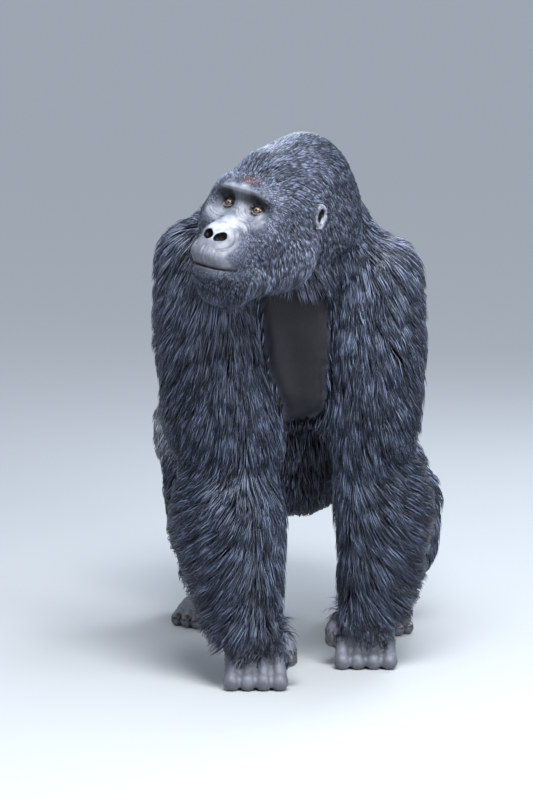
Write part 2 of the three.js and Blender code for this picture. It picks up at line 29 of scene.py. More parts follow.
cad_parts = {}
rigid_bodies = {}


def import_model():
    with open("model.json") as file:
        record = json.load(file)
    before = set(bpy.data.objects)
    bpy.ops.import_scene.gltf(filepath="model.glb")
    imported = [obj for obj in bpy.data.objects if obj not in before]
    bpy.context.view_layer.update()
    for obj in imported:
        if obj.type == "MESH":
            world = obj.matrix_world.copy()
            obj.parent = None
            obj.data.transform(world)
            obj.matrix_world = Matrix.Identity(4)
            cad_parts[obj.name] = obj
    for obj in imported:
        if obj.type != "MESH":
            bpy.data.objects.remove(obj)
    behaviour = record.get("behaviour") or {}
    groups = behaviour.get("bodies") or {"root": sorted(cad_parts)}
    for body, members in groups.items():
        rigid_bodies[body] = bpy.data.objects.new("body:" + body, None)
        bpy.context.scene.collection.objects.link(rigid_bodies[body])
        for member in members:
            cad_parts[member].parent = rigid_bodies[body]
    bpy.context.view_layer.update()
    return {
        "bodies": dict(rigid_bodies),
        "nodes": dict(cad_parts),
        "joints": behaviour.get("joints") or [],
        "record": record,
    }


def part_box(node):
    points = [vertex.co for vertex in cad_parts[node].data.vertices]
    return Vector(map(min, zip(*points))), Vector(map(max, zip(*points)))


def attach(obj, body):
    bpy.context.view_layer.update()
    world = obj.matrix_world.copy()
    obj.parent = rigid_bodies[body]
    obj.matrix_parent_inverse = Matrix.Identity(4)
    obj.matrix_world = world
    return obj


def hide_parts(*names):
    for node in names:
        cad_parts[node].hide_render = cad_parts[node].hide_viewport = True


LOG = logging.getLogger("gorilla")

Array = np.ndarray
Field = Callable[[Array], Array]
Triple = tuple[float, float, float]
Colour = tuple[float, ...]
Inputs = dict[str | int, object]
Socket = bpy.types.NodeSocket

MM = 0.001
BODY = "root"
BAKE_MAP = "OFBake"
BAKE_PATCH = 0.003
SEED = 7

# the place across the lids' opening and up it are joined with this power, which points its corners
LID_CORNER = 1.55

# a lock's width along its length: the share of the length, and the share of the width there
LOCK_PROFILE = ((0, 0.25, 0.6, 1), (0.6, 1.0, 0.85, 0.2))


class Side(Enum):
    """The animal's own two sides, as the sign of x."""

    LEFT = 1
    RIGHT = -1

    @property
    def word(self) -> str:
        """The side's name as the solids spell it."""
        return self.name.lower()

    def names(self, *parts: str) -> tuple[str, ...]:
        """The names of these parts on this side."""
        return tuple(f"{part}_{self.word}" for part in parts)

    def place(self, left: Array | Triple) -> Array:
        """Places of the left side, brought to this side."""
        return np.array(left, float) * (self.value, 1, 1)


# ---- Small sums --------------------------------------------------------------------------------------


def unit(vectors: Array) -> Array:
    """Vectors scaled to length one."""
    return vectors / np.maximum(np.linalg.norm(vectors, axis=-1, keepdims=True), 1e-9)


def ramp(x: Array, low: float, high: float) -> Array:
    """A smooth step from 0 at low to 1 at high, which may be the smaller of the two."""
    t = np.clip((x - low) / (high - low), 0.0, 1.0)
    return t * t * (3 - 2 * t)


def bump(x: Array, middle: float, width: float) -> Array:
    """A smooth hump of height 1 at middle, about width wide."""
    return np.exp(-(((x - middle) / width) ** 2))


def flattened(vectors: Array, normals: Array) -> Array:
    """The part of vectors that lies in the surface with these normals, at length one."""
    return unit(vectors - normals * (vectors * normals).sum(-1, keepdims=True))


def folded(places: Array) -> Array:
    """Places brought over to the animal's left side."""
    return np.concatenate([np.abs(places[:, :1]), places[:, 1:]], axis=1)


def spread(places: Array, middle: Sequence[float], radii: Sequence[float]) -> Array:
    """How far places are from a middle, as a share of three radii."""
    return np.linalg.norm((places - np.array(middle)) / radii, axis=1)


# ---- Masses: the distance from a place to a rounded form, negative inside it -------------------------


def ball(centre: Sequence[float], radii: Sequence[float]) -> Field:
    """An egg with its own radius along each axis.

    Args:
        centre: its middle.
        radii: its three radii.

    Returns:
        The field, about true to distance near the surface.
    """
    middle, size = np.array(centre, float), np.array(radii, float)

    def distance(p: Array) -> Array:
        """The egg's distance from each place."""
        q = (p - middle) / size
        near = np.linalg.norm(q, axis=-1)
        return near * (near - 1) / np.maximum(np.linalg.norm(q / size, axis=-1), 1e-9)

    return distance


def bone(a: Sequence[float], b: Sequence[float], radius_a: float, radius_b: float) -> Field:
    """A rounded bar from a to b, with its own radius at each end.

    Args:
        a: one end.
        b: the other end.
        radius_a: its radius at a.
        radius_b: its radius at b.

    Returns:
        The field.
    """
    start = np.array(a, float)
    along = np.array(b, float) - start

    def distance(p: Array) -> Array:
        """The bar's distance from each place."""
        q = p - start
        t = np.clip(q @ along / (along @ along), 0, 1)
        return np.linalg.norm(q - t[:, None] * along, axis=-1) - (radius_a + (radius_b - radius_a) * t)

    return distance


def joined(blend: float, *fields: Field) -> Field:
    """Masses joined with a rounded valley about blend wide between them."""

    def distance(p: Array) -> Array:
        """The distance from each place, lowered where two masses are close."""
        d = fields[0](p)
        for other in fields[1:]:
            e = other(p)
            h = np.maximum(blend - np.abs(d - e), 0) / blend
            d = np.minimum(d, e) - h * h * blend * 0.25
        return d

    return distance


def pressed(blend: float, form: Field, tool: Field) -> Field:
    """A form with another one pressed into it, with a rounded edge about blend wide."""

    def distance(p: Array) -> Array:
        """The distance from each place, raised near the edge."""
        a, b = form(p), -tool(p)
        h = np.maximum(blend - np.abs(a - b), 0) / blend
        return np.maximum(a, b) + h * h * blend * 0.25

    return distance


def mirrored(place: Triple) -> Triple:
    """A place's mirror image on the other side."""
    return (-place[0], place[1], place[2])


def balls(centre: Triple, radii: Triple) -> list[Field]:
    """A ball on the left and its mirror image on the right."""
    return [ball(centre, radii), ball(mirrored(centre), radii)]


def bones(a: Triple, b: Triple, radius_a: float, radius_b: float) -> list[Field]:
    """A bone on the left and its mirror image on the right."""
    return [bone(a, b, radius_a, radius_b), bone(mirrored(a), mirrored(b), radius_a, radius_b)]


def slope(form: Field, places: Array, step: float) -> Array:
    """The outward direction of a form's surface at each place, at length one."""
    sides = [form(places + step * axis) - form(places - step * axis) for axis in np.eye(3)]
    return unit(np.stack(sides, axis=-1))


@dataclass(frozen=True)
class Axes:
    """A part's own axes in the frame.

    Attributes:
        origin: where they start, in metres.
        turn: the part's +X, +Y and +Z as rows.
    """

    origin: Array
    turn: Array

    def local(self, points: Array) -> Array:
        """Points of the frame in the part's own millimetres."""
        return (points - self.origin) @ self.turn.T / MM

    def world(self, places: Array) -> Array:
        """The part's own places, in millimetres, as points of the frame."""
        return self.origin + (np.asarray(places, float) * MM) @ self.turn

    def heading(self, directions: Array) -> Array:
        """Directions given in the part's own axes, in the frame."""
        return np.asarray(directions, float) @ self.turn


# ---- The head ----------------------------------------------------------------------------------------

# the brush's strokes over the left half of the head: a place on each, and the way it is combed
HEAD_STROKES = (
    ((0, -30, 52), (0, 0.25, 1)),
    ((45, -22, 50), (0.35, 0.4, 0.85)),
    ((75, 0, 38), (0.5, 0.75, 0.35)),
    ((0, 20, 118), (0, 1, 0.35)),
    ((50, 40, 100), (0.3, 1, 0.1)),
    ((0, 120, 165), (0, 1, -0.1)),
    ((0, 200, 120), (0, 0.7, -0.8)),
    ((60, 180, 80), (0.2, 0.7, -0.75)),
    ((90, 110, 70), (0.1, 0.6, -0.8)),
    ((85, 50, 40), (0.2, 0.85, -0.5)),
    ((84, 25, 0), (0.3, 0.75, -0.6)),
    ((100, 80, -20), (0.1, 0.45, -0.9)),
    ((75, 5, -50), (0.3, 0.4, -0.85)),
    ((95, 60, -70), (0.1, 0.2, -1)),
    ((110, 100, -90), (0, 0.2, -1)),
    ((100, 110, -150), (-0.1, -0.1, -1)),
    ((60, 40, -160), (0, 0, -1)),
    ((45, -40, -180), (0, 0.1, -1)),
    ((0, -80, -190), (0, 0.15, -1)),
    ((0, 0, -215), (0, 0.5, -0.8)),
    ((62, -40, -120), (0.3, 0.3, -0.9)),
    ((50, -45, -75), (0.6, 0.2, -0.6)),
    ((0, 240, 20), (0, 0.5, -1)),
)


@dataclass
class Head:
    """The head's forms, folds and lids, and how its hair lies.

    Attributes:
        forward: where the face points, in the body's axes.
        crown: roughly where the crown points.
        place: the middle between the eyes, in the body's axes.
        eye: the middle of the left eye, in the head's axes.
        eye_radius: the eyeball's radius.
        ear: the middle of the left ear.
        ear_radii: half the ear's thickness, width and height.
        ear_tilt: how far the ear leans back, in radians.
        lid_half_width: half the opening between the lids, as an angle round the eyeball.
        lid_turn: how far that opening looks outward.
        upper_lid: how far the opening reaches up, as an angle.
        lower_lid: how far it reaches down.
        lid_thickness: how far the lid stands over the eyeball.
        lid_reach: how far from the eye's middle the skin is shaped by its lids.
    """

    forward: Triple = (-0.634, -0.753, 0.173)
    crown: Triple = (0.23, 0.029, 0.973)
    place: Triple = (-91, -230, 1075)
    eye: Triple = (40, -9, -2)
    eye_radius: float = 12.5
    ear: Triple = (114, 104, 14)
    ear_radii: Triple = (13, 18, 27)
    ear_tilt: float = 0.25
    lid_half_width: float = 1.06
    lid_turn: float = 0.22
    upper_lid: float = 0.66
    lower_lid: float = 0.55
    lid_thickness: float = 2.3
    lid_reach: float = 34.0
    axes: Axes = field(init=False)

    def __post_init__(self) -> None:
        """Finds the head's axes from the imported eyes."""
        back = -unit(np.array(self.forward))
        left = unit(np.cross(back, np.array(self.crown)))
        turn = np.stack([left, back, np.cross(left, back)])
        corners = [np.array(corner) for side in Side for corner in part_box(f"eye_{side.word}")]
        middle = np.mean(corners, axis=0)
        self.axes = Axes(middle - (np.array((0, self.eye[1], self.eye[2])) * MM) @ turn, turn)

    def body_axes(self) -> Axes:
        """The body's own axes, which start on the floor under the shoulders."""
        return Axes(self.axes.origin - np.array(self.place) * MM, np.eye(3))

    def form(self) -> Field:
        """The masses of the head, out to the tips of its coat.

        Returns:
            The field, in the head's axes.
        """
        skull = joined(
            55,
            ball((0, 76, 38), (88, 104, 82)),
            bone((0, 50, 72), (-5, 152, 92), 54, 75),
            bone((-5, 152, 92), (0, 238, -32), 75, 84),
            *bones((20, 185, 74), (18, 225, 10), 68, 82),
            *bones((52, 70, 10), (62, 84, -92), 58, 62),
            *bones((62, 84, -92), (22, -12, -164), 58, 50),
        )
        brow_ends = bones((48, -15, 34), (73, 5, 19), 16, 17)
        brow = joined(14, *bones((0, -20, 34), (48, -15, 34), 14, 16), *brow_ends)
        cheeks = joined(
            25,
            *bones((66, 14, 4), (46, 2, -40), 20, 30),
            *balls((74, -4, -46), (41, 38, 57)),
            *balls((71, 8, 10), (36, 32, 44)),
            ball((0, 4, -30), (52, 30, 44)),
        )
        bridge = bone((0, -4, -4), (0, -38, -56), 17, 26)
        upper_jaw = joined(26, bridge, ball((0, -34, -100), (60, 62, 44)), ball((0, -62, -114), (60, 50, 29)))
        lower_jaw = joined(26, ball((0, -53, -152), (58, 49, 25)), ball((0, -28, -180), (54, 52, 31)))
        nose = joined(12, bone((0, -42, -50), (0, -58, -68), 18, 19), *balls((26, -55, -70), (21, 24, 19)))
        muzzle = joined(8, upper_jaw, lower_jaw)
        flesh = joined(20, joined(34, joined(34, skull, cheeks), muzzle), brow, nose)
        sockets = joined(6, *balls((40, -37, 3), (25, 24, 21)), *balls((66, -35, 1), (23, 23, 17)))
        return pressed(3, pressed(12, flesh, sockets), self.nostrils())

    def nostrils(self) -> Field:
        """Both nostrils: a rounded opening that runs out into the wing, and the passage behind it."""
        opening = bones((12, -86, -75), (21, -82, -71), 9.0, 9.5)
        return joined(3, *opening, *bones((16, -80, -73), (15, -56, -66), 9, 7))

    def ear_form(self) -> Field:
        """Both ears: a rolled rim round a hollow, with a lobe and the flap before the hollow.

        Returns:
            The field, in the head's axes.
        """
        c, s = math.cos(self.ear_tilt), math.sin(self.ear_tilt)
        turn = np.array([[1, 0, 0], [0, c, s], [0, -s, c]])
        _, wide, tall = self.ear_radii
        angles = np.radians((-70, -35, 0, 35, 70, 105, 140, 175, 210))
        rim_places = [(9.5, 0.86 * wide * math.sin(a), 0.86 * tall * math.cos(a)) for a in angles]
        rim = joined(2, *(bone(a, b, 3.4, 3.4) for a, b in zip(rim_places, rim_places[1:])))
        shell = pressed(2, ball((0, 0, 0), self.ear_radii), ball((10, -2, 2), (11, 0.62 * wide, 0.66 * tall)))
        inner_fold = bone((7, 5, 12), (8, 8, -8), 2.2, 2.6)
        flap = ball((8, -13, -5), (5, 4.5, 6.5))
        lobe = ball((4, -4, -22), (7, 9, 7))
        one = joined(3, shell, rim, inner_fold, flap, lobe)
        centre = np.array(self.ear)

        def distance(p: Array) -> Array:
            """The distance from the ear on each place's own side."""
            return one((folded(p) - centre) @ turn.T)

        return distance

    def ear_hollow(self, places: Array) -> Array:
        """The hollow of each ear: 1 inside it, 0 outside."""
        return ramp(ball((6, -4, 2), (15, 9.5, 15))(folded(places) - self.ear), 1.5, -1.5)

    def mask(self) -> Field:
        """The bare face as a mass that its skin passes through: the brow and cheeks, the muzzle, the lips."""
        return joined(
            14,
            ball((0, -70, 4), (79, 130, 42)),
            ball((0, -70, -24), (86, 130, 29)),
            ball((0, -95, -84), (54, 120, 56)),
            ball((0, -110, -127), (61, 110, 20)),
        )

    def bare(self, places: Array) -> Array:
        """How bare the skin is: 1 on the brow, nose and lips, 0 where the coat is full.

        Args:
            places: places on the head.

        Returns:
            One value for each place.
        """
        uneven = 3.0 * np.sin(places[:, 0] / 6.0) * np.sin(places[:, 2] / 5.0 + places[:, 1] / 9.0)
        return ramp(self.mask()(places) + uneven, 7.0, -7.0)

    def coat_share(self, places: Array) -> Array:
        """How long the hair is as a share of its full length, short at the face's edge.

        Args:
            places: places on the head.

        Returns:
            One value for each place, from 0 on bare skin to 1.
        """
        d = self.mask()(places)
        return np.clip(0.12 + 0.88 * ramp(d, 0.0, 62.0), 0, 1) * ramp(d, -4.0, 2.0)

    def lie(self, places: Array) -> Array:
        """The direction in which the hair is combed, blended from the strokes of the brush.

        Args:
            places: places on the head.

        Returns:
            Directions in the head's axes, not yet laid on the surface.
        """
        reach = 24.0
        total = np.zeros_like(places)
        for place, direction in HEAD_STROKES:
            for side in Side:
                gap = ((places - side.place(place)) ** 2).sum(-1, keepdims=True)
                total += unit(side.place(direction)) / (gap + reach**2) ** 2
        return unit(total)

    def eye_angles(self, places: Array, side: Side) -> tuple[Array, Array, Array]:
        """Where places lie round an eye.

        Args:
            places: places on the head.
            side: which eye.

        Returns:
            The place across the lids' opening (-1 at the inner corner, 1 at the outer), the place up it
            (1 at the upper lid, -1 at the lower), and the distance from the eye's middle.
        """
        q = side.place(places) - np.array(self.eye)
        around = np.arctan2(q[:, 0], -q[:, 1])
        rise = np.arctan2(q[:, 2], np.hypot(q[:, 0], q[:, 1]))
        across = (around - self.lid_turn) / self.lid_half_width
        rise = rise - 0.07 * across
        up = np.where(rise > 0, rise / self.upper_lid, rise / self.lower_lid)
        return across, up, np.linalg.norm(q, axis=-1)

    def lid_ring(self, places: Array, side: Side) -> Array:
        """How far a place is from the middle of the lids' opening: 1 on its edge."""
        across, up, _ = self.eye_angles(places, side)
        return (np.abs(across) ** LID_CORNER + np.abs(up) ** LID_CORNER) ** (1 / LID_CORNER)

    def with_lids(self, places: Array) -> Array:
        """Draws the lids over the eyeballs and opens them.

        Args:
            places: the skin's places on the head.

        Returns:
            The places, moved along the line from each eye's middle.
        """
        moved = places.copy()
        for side in Side:
            _, up, reach = self.eye_angles(places, side)
            near = np.where(reach < self.lid_reach)[0]
            p, up, reach = places[near], up[near], reach[near]
            centre = side.place(self.eye)
            ring = self.lid_ring(p, side)
            shell = self.eye_radius + self.lid_thickness + 0.7 * bump(ring, 1.12, 0.10)
            crease = np.where(up > 0, 1.3 * bump(ring, 1.42, 0.07), 0.9 * bump(ring, 1.38, 0.07))
            folds = 0.7 * bump(ring, 1.75, 0.09) + 0.5 * bump(ring, 2.1, 0.1)
            lid = shell - 6.0 * ramp(ring, 1.3, 2.3)
            h = np.maximum(3.0 - np.abs(lid - reach), 0) / 3.0
            outer = np.maximum(lid, reach) + h * h * 0.75 - crease - folds
            inner = np.full_like(outer, self.eye_radius - 2.2)
            target = inner + (outer - inner) * ramp(ring, 0.97, 1.05)
            front = ramp(-(p[:, 1] - centre[1]), -2.0, 3.0)
            share = ramp(ring, 2.9, 2.2) * front * ramp(reach, 27.0, 21.0)
            moved[near] = centre + unit(p - centre) * (reach + (target - reach) * share)[:, None]
        return moved

    def folds(self, places: Array) -> Array:
        """The folds and wrinkles of the bare face, as heights along its surface's normal.

        Args:
            places: the skin's places on the head.

        Returns:
            One height for each place, in millimetres, negative in a fold.
        """
        x, y, z = folded(places).T
        height = np.zeros(len(places))

        def fold(
            line: Array, at: float, depth: float, width: float, beside: float, rise: float, where: Array
        ) -> None:
            """Sinks a fold of some width and depth at a distance from a line, with a soft rise beside it."""
            nonlocal height
            height -= depth * bump(line, at, width) * where
            height += 0.5 * depth * bump(line, at + beside, rise) * where

        # bags and creases under the eyes
        low = ramp(z, -3.0, -11.0) * ramp(x, 84.0, 66.0)
        for at, depth in ((17.5, 1.3), (22.0, 1.1), (27.0, 0.9), (33.0, 0.6)):
            fold(np.hypot((x - 41) / 1.3, z + 1), at, depth, 1.2, -2.6, 1.6, low)
        # folds round the wings of the nose, running up to the inner corners of the eyes
        upper = ramp(z, -98.0, -76.0) * ramp(z, -22.0, -34.0) * ramp(x, 14.0, 24.0)
        for at, depth in ((31.0, 1.6), (37.0, 1.1), (43.0, 1.0), (50.0, 0.7)):
            fold(np.hypot(x - 17, (z + 80) / 1.15), at, depth, 1.3, 3.0, 1.7, upper)
        # the crease that parts the wing and the upper lip from the cheek
        wing = np.hypot((x - 20) / 1.1, z + 74)
        height -= 2.4 * bump(wing, 27.0, 2.4) * ramp(z, -60.0, -72.0) * ramp(x, 22.0, 32.0)
        # frown lines between the brows and over the lids
        frown = ramp(z, -6.0, 4.0) * ramp(z, 36.0, 26.0)
        for at, depth in ((6.0, 0.9), (13.0, 0.9), (27.0, 0.7), (34.0, 0.8), (52.0, 0.5)):
            height -= depth * bump(x, at, 1.3) * frown
        # wrinkles across the bridge
        bridge = ramp(x, 17.0, 8.0) * ramp(z, -52.0, -40.0) * ramp(z, 4.0, -6.0)
        height -= 0.6 * bridge * np.cos((z + 0.02 * x * x) / 1.35)
        # the groove of the upper lip and its fine upright folds
        lip = ramp(z, -92.0, -100.0) * ramp(z, -139.0, -131.0)
        height -= 1.5 * bump(x, 0.0, 3.0) * ramp(z, -90.0, -96.0) * ramp(z, -118.0, -108.0)
        height -= 0.2 * lip * np.cos(x / 1.5) * ramp(x, 60.0, 44.0)
        # the cheek's own soft unevenness
        height += 0.5 * np.sin(x / 7.0 + 1.0) * np.sin(z / 6.0) * ramp(z, -30.0, -60.0)
        return height * ramp(y, 30.0, 5.0)

    def mouth_line(self, x: Array) -> Array:
        """The height of the line between the lips at each distance from the middle."""
        return -139.0 + 8.0 * (x / 62.0) ** 4

    def mouth(self, places: Array) -> Array:
        """The line between the lips, as a depth along the surface's normal.

        Args:
            places: the skin's places on the head.

        Returns:
            One depth for each place, in millimetres.
        """
        x, y, z = places.T
        gap = z - self.mouth_line(x)
        span = ramp(np.abs(x), 68.0, 58.0) * ramp(y, -25.0, -40.0)
        rolls = 0.7 * bump(gap, 6.0, 4.5) + 0.9 * bump(gap, -5.0, 3.6)
        return (4.2 * bump(gap, 0.0, 1.4) - rolls) * span

    def dark_and_shade(self, places: Array) -> Array:
        """Painted shade on the skin: deep in the nostrils and the ears' hollows, along the line between the
        lips, under the brow, and round the eyes along the lids' edges and in their creases and corners.

        Args:
            places: the skin's places on the head.

        Returns:
            One value for each place, from 0 to 1.
        """
        x, y, z = folded(places).T
        # painted shade inside the nostrils, along the line between the lips and in the hollow under the brow
        nostril = ramp(self.nostrils()(places), 2.0, 0.8)
        lips = bump(z - self.mouth_line(x), 0.0, 1.7) * ramp(x, 67.0, 58.0) * ramp(y, -25.0, -40.0)
        brow_shade = ramp(z, 2.0, 13.0) * ramp(z, 31.0, 25.0) * ramp(x, 84.0, 66.0) * ramp(y, 20.0, 0.0)
        lids = np.zeros(len(places))
        # painted shade round each eye: over the upper lid under the brow, along the lids' edges, in their
        # creases and in the corners
        for side in Side:
            _, up, reach = self.eye_angles(places, side)
            ring = self.lid_ring(places, side)
            upper = np.maximum(ramp(ring, 1.42, 1.3), bump(ring, 1.75, 0.1)) * ramp(up, -0.2, 0.1)
            lower = np.maximum(ramp(ring, 1.04, 1.0), bump(ring, 1.32, 0.13)) * ramp(up, 0.1, -0.2)
            corner = ramp(ring, 1.5, 1.3) * ramp(np.abs(up), 0.4, 0.2) * ramp(ring, 1.0, 1.05)
            lids = np.maximum(lids, np.maximum.reduce([upper, lower, corner]) * ramp(reach, 25.0, 17.0))
        # with painted shade in each ear's hollow
        return np.maximum.reduce([nostril, 0.9 * lips, 0.9 * lids, 0.6 * brow_shade, self.ear_hollow(places)])


    def pale_and_highlight(self, places: Array) -> Array:
        """Where the skin is paler: a painted highlight along the top of the brow and down the nose, and a paler
        tone under the eyes and on the muzzle.

        Args:
            places: the skin's places on the head.

        Returns:
            One value for each place, from 0 to 1.
        """
        x, y, z = folded(places).T
        # the brow's top and the nose carry a painted highlight; under the eyes, on the muzzle and chin the skin
        # is only paler
        brow = 0.55 * ramp(z, 30.0, 37.0) * ramp(z, 54.0, 46.0) * ramp(x, 88.0, 70.0) * ramp(y, 8.0, -8.0)
        nose = ramp(spread(places, (0, -66, -54), (38, 60, 34)), 1.3, 0.5)
        under = ramp(spread(folded(places), (48, -30, -30), (48, 60, 27)), 1.25, 0.5)
        muzzle = ramp(z, -142.0, -132.0) * ramp(y, -10.0, -40.0)
        chin = ramp(z, -140.0, -146.0) * ramp(y, -10.0, -40.0)
        return np.clip(np.maximum.reduce([brow, 0.85 * nose, 0.36 * under, 0.22 * muzzle, 0.1 * chin]), 0.08, 1)

    def wet(self, places: Array) -> Array:
        """The moist edges of the lower lids.

        Args:
            places: the skin's places on the head.

        Returns:
            One value for each place, from 0 to 1.
        """
        edge = np.zeros(len(places))
        for side in Side:
            _, up, reach = self.eye_angles(places, side)
            ring = self.lid_ring(places, side)
            rim = ramp(ring, 1.14, 1.08) * ramp(ring, 1.0, 1.04) * ramp(up, 0.1, -0.3)
            edge = np.maximum(edge, rim * ramp(reach, 19.0, 16.0))
        return 0.7 * edge


# ---- Limbs -------------------------------------------------------------------------------------------

# angles round the arm, and how far the hair is swept round it there, in degrees: on the upper arm, on the
# forearm, and in the fringe at the elbow
UPPER_SWEEP = ((-180, -120, -90, -45, -10, 20, 50, 90, 135, 180), (0, -12, -8, -4, 10, 24, 38, 46, 28, 0))
LOWER_SWEEP = (
    (-180, -120, -90, -50, -25, 0, 30, 60, 90, 135, 180),
    (0, -20, -14, -4, 24, 50, 68, 76, 78, 60, 0),
)
FRINGE_SWEEP = ((-180, -100, -60, -20, 30, 90, 180), (0, -34, -30, 0, 36, 60, 0))


@dataclass(frozen=True)
class Arm:
    """One arm and hand.

    Attributes:
        side: which one.
        shoulder: the middle of the shoulder, in the body's axes.
        elbow: the middle of the elbow.
        wrist: the middle of the wrist.
        knuckles: the point on the floor between the knuckles.
    """

    side: Side
    shoulder: Triple
    elbow: Triple
    wrist: Triple
    knuckles: Triple

    finger_spacing: float = 35.0
    finger_radius: float = 17.5
    finger_shares: tuple[float, ...] = (0.9, 1.0, 0.98, 0.84)
    palm_radius: float = 34.0

    def axis_at(self, z: Array) -> Array:
        """The middle of the arm at each height, as x and y."""
        rows = np.array([self.wrist, self.elbow, self.shoulder], float)
        return np.stack([np.interp(z, rows[:, 2], rows[:, 0]), np.interp(z, rows[:, 2], rows[:, 1])], 1)

    def around(self, places: Array) -> Array:
        """The angle round the arm, in degrees: 0 in front, 90 outside, 180 behind, -90 inside."""
        gap = places[:, :2] - self.axis_at(places[:, 2])
        return np.degrees(np.arctan2(gap[:, 0] * self.side.value, -gap[:, 1]))

    def lie(self, places: Array) -> Array:
        """How the hair lies: down the arm, and swept round its outer side towards the back.

        Args:
            places: places on the arm, in the body's axes.

        Returns:
            Directions, not yet laid on the surface.
        """
        angle = self.around(places)
        upper, lower, fringe = (np.interp(angle, *rows) for rows in (UPPER_SWEEP, LOWER_SWEEP, FRINGE_SWEEP))
        z, elbow = places[:, 2], self.elbow[2]
        share = ramp(z, elbow + 60, elbow - 60)
        sweep = upper + (lower - upper) * share
        sweep = sweep + (fringe - sweep) * 0.6 * np.exp(-(((z - elbow - 70) / 60) ** 2))
        sweep = sweep + (lower * 0.4 - sweep) * ramp(z, 210.0, 120.0)
        turn, bend = np.radians(angle), np.radians(sweep)
        around = np.stack([self.side.value * np.cos(turn), np.sin(turn), np.zeros_like(turn)], 1)
        return np.sin(bend)[:, None] * around + np.cos(bend)[:, None] * np.array((0.0, 0.0, -1.0))

    def hand_axes(self, body: Axes) -> Axes:
        """The hand's own axes, on the floor between its knuckles."""
        return Axes(body.world(np.array(self.knuckles)), np.eye(3))

    def fingers(self) -> list[tuple[Array, Array, Array, Array]]:
        """The root, knuckle, pad and tip of each finger, in the hand's axes."""
        inner = -self.side.value
        places = []
        for i, share in enumerate(self.finger_shares):
            across = inner * self.finger_spacing * (1.5 - i)
            places.append(
                (
                    np.array((across * 0.92, 50, 88.0)),
                    np.array((across, 0, 18.0)),
                    np.array((across, 52 * share, 15.0)),
                    np.array((across, 58 * share, 44.0)),
                )
            )
        return places

    def thumb(self) -> tuple[Array, Array]:
        """The thumb's root and tip, in the hand's axes."""
        inner = -self.side.value
        return np.array((62.0 * inner, 40, 118)), np.array((76.0 * inner, 28, 62))

    def hand_form(self) -> Field:
        """The hand, with a fist of four fingers that stands on the backs of their middle bones.

        Returns:
            The field, in the hand's axes.
        """
        top = np.array(self.wrist, float) - (self.knuckles[0], self.knuckles[1], 0)
        palm, radius = self.palm_radius, self.finger_radius
        parts = [bone(top, (0, 50, 88), palm + 14, palm)]
        fingers: list[Field] = []
        for root, knuckle, pad, tip in self.fingers():
            parts.append(bone(top + (root - top) * 0.3, root, palm * 0.8, radius + 4))
            swell = knuckle + (0, -1.5, 1.0)
            fingers.append(
                joined(
                    7,
                    bone(root, knuckle, radius + 1, radius - 0.5),
                    ball(swell, (radius * 0.98, radius * 1.05, radius * 1.05)),
                    bone(knuckle, pad, radius, radius - 1),
                    bone(pad, tip, radius - 2, radius - 5),
                )
            )
        root, tip = self.thumb()
        thumb = joined(8, bone(root, tip, 19, 16), ball(root * 0.45 + tip * 0.55, (19, 19, 17)))
        return joined(6, joined(9, *parts), *fingers, thumb)

    def nails(self) -> list[tuple[Array, Array, float]]:
        """The nails: the middle of each, the way it faces, and the digit's radius there."""
        found = []
        for _, _, pad, tip in self.fingers():
            found.append((tip + (0, 0, 2.0), np.array((0.0, 1.0, 0.25)), self.finger_radius - 5))
        root, tip = self.thumb()
        found.append((tip + (root - tip) * 0.06, np.array((-self.side.value * 0.55, -0.85, 0.1)), 16.0))
        return found


@dataclass(frozen=True)
class Leg:
    """One hind leg and foot.

    Attributes:
        side: which one.
        ankle: the middle of the ankle, in the body's axes.
        sole: the point on the floor under the middle of the foot.
        out: how far the foot turns about the upright, in degrees.
    """

    side: Side
    ankle: Triple
    sole: Triple
    out: float

    toe_spacing: float = 25.0
    toe_radius: float = 16.0
    toe_lengths: tuple[float, ...] = (60.0, 66.0, 60.0, 48.0)

    def foot_axes(self, body: Axes) -> Axes:
        """The foot's own axes, on the floor under its sole."""
        c, s = math.cos(math.radians(self.out)), math.sin(math.radians(self.out))
        return Axes(body.world(np.array(self.sole)), np.array([[c, s, 0], [-s, c, 0], [0, 0, 1]]))

    def toes(self) -> list[tuple[Array, Array, float]]:
        """Each toe's root, tip and radius at the tip, in the foot's axes, the big toe first."""
        outer = self.side.value
        found = [(np.array((-38.0 * outer, 6, 34)), np.array((-70.0 * outer, -78, 19)), 22.0)]
        for i, length in enumerate(self.toe_lengths):
            across = self.toe_spacing * (i - 1.05)
            root = np.array((across * outer, -82.0 + 7 * i, 28))
            tip = np.array((across * 1.12 * outer, root[1] - length, 14.0))
            found.append((root, tip, self.toe_radius - 1))
        return found

    def foot_form(self, body: Axes) -> Field:
        """The foot, flat on its sole.

        Args:
            body: the body's axes.

        Returns:
            The field, in the foot's axes.
        """
        outer = self.side.value
        ankle = self.foot_axes(body).local(body.world(np.array(self.ankle))[None])[0]
        parts = [
            ball((0, 92, 40), (44, 44 * 1.15, 44)),
            bone((0, 62, 76), (0, -38, 44), 52, 38),
            ball((4 * outer, -40, 34), (58, 62, 36)),
            bone(ankle, (0, 62, 76), 62, 52),
        ]
        toes: list[Field] = []
        for root, tip, radius in self.toes():
            joint = ball(root * 0.45 + tip * 0.55, (radius, radius, radius + 2.5))
            toes.append(joined(5, bone(root, tip, radius + 3, radius), joint))
        return joined(6, joined(10, *parts, toes[0]), *toes[1:])

    def nails(self) -> list[tuple[Array, Array, float]]:
        """The nails: the middle of each, the way it faces, and the toe's radius there."""
        facing = np.array((0, -0.45, 0.9))
        return [(tip + (0, -radius * 0.35, 0), facing, radius) for _, tip, radius in self.toes()]


ARMS = (
    Arm(Side.RIGHT, (-186, 5, 930), (-128, 24, 490), (-92, -60, 112), (-76, -104, 0)),
    Arm(Side.LEFT, (186, 25, 893), (180, 72, 515), (184, 150, 112), (172, 112, 0)),
)
LEGS = (
    Leg(Side.RIGHT, (-190, 752, 100), (-190, 690, 0), -12),
    Leg(Side.LEFT, (204, 655, 100), (206, 592, 0), 12),
)


# ---- The coat's styles -------------------------------------------------------------------------------


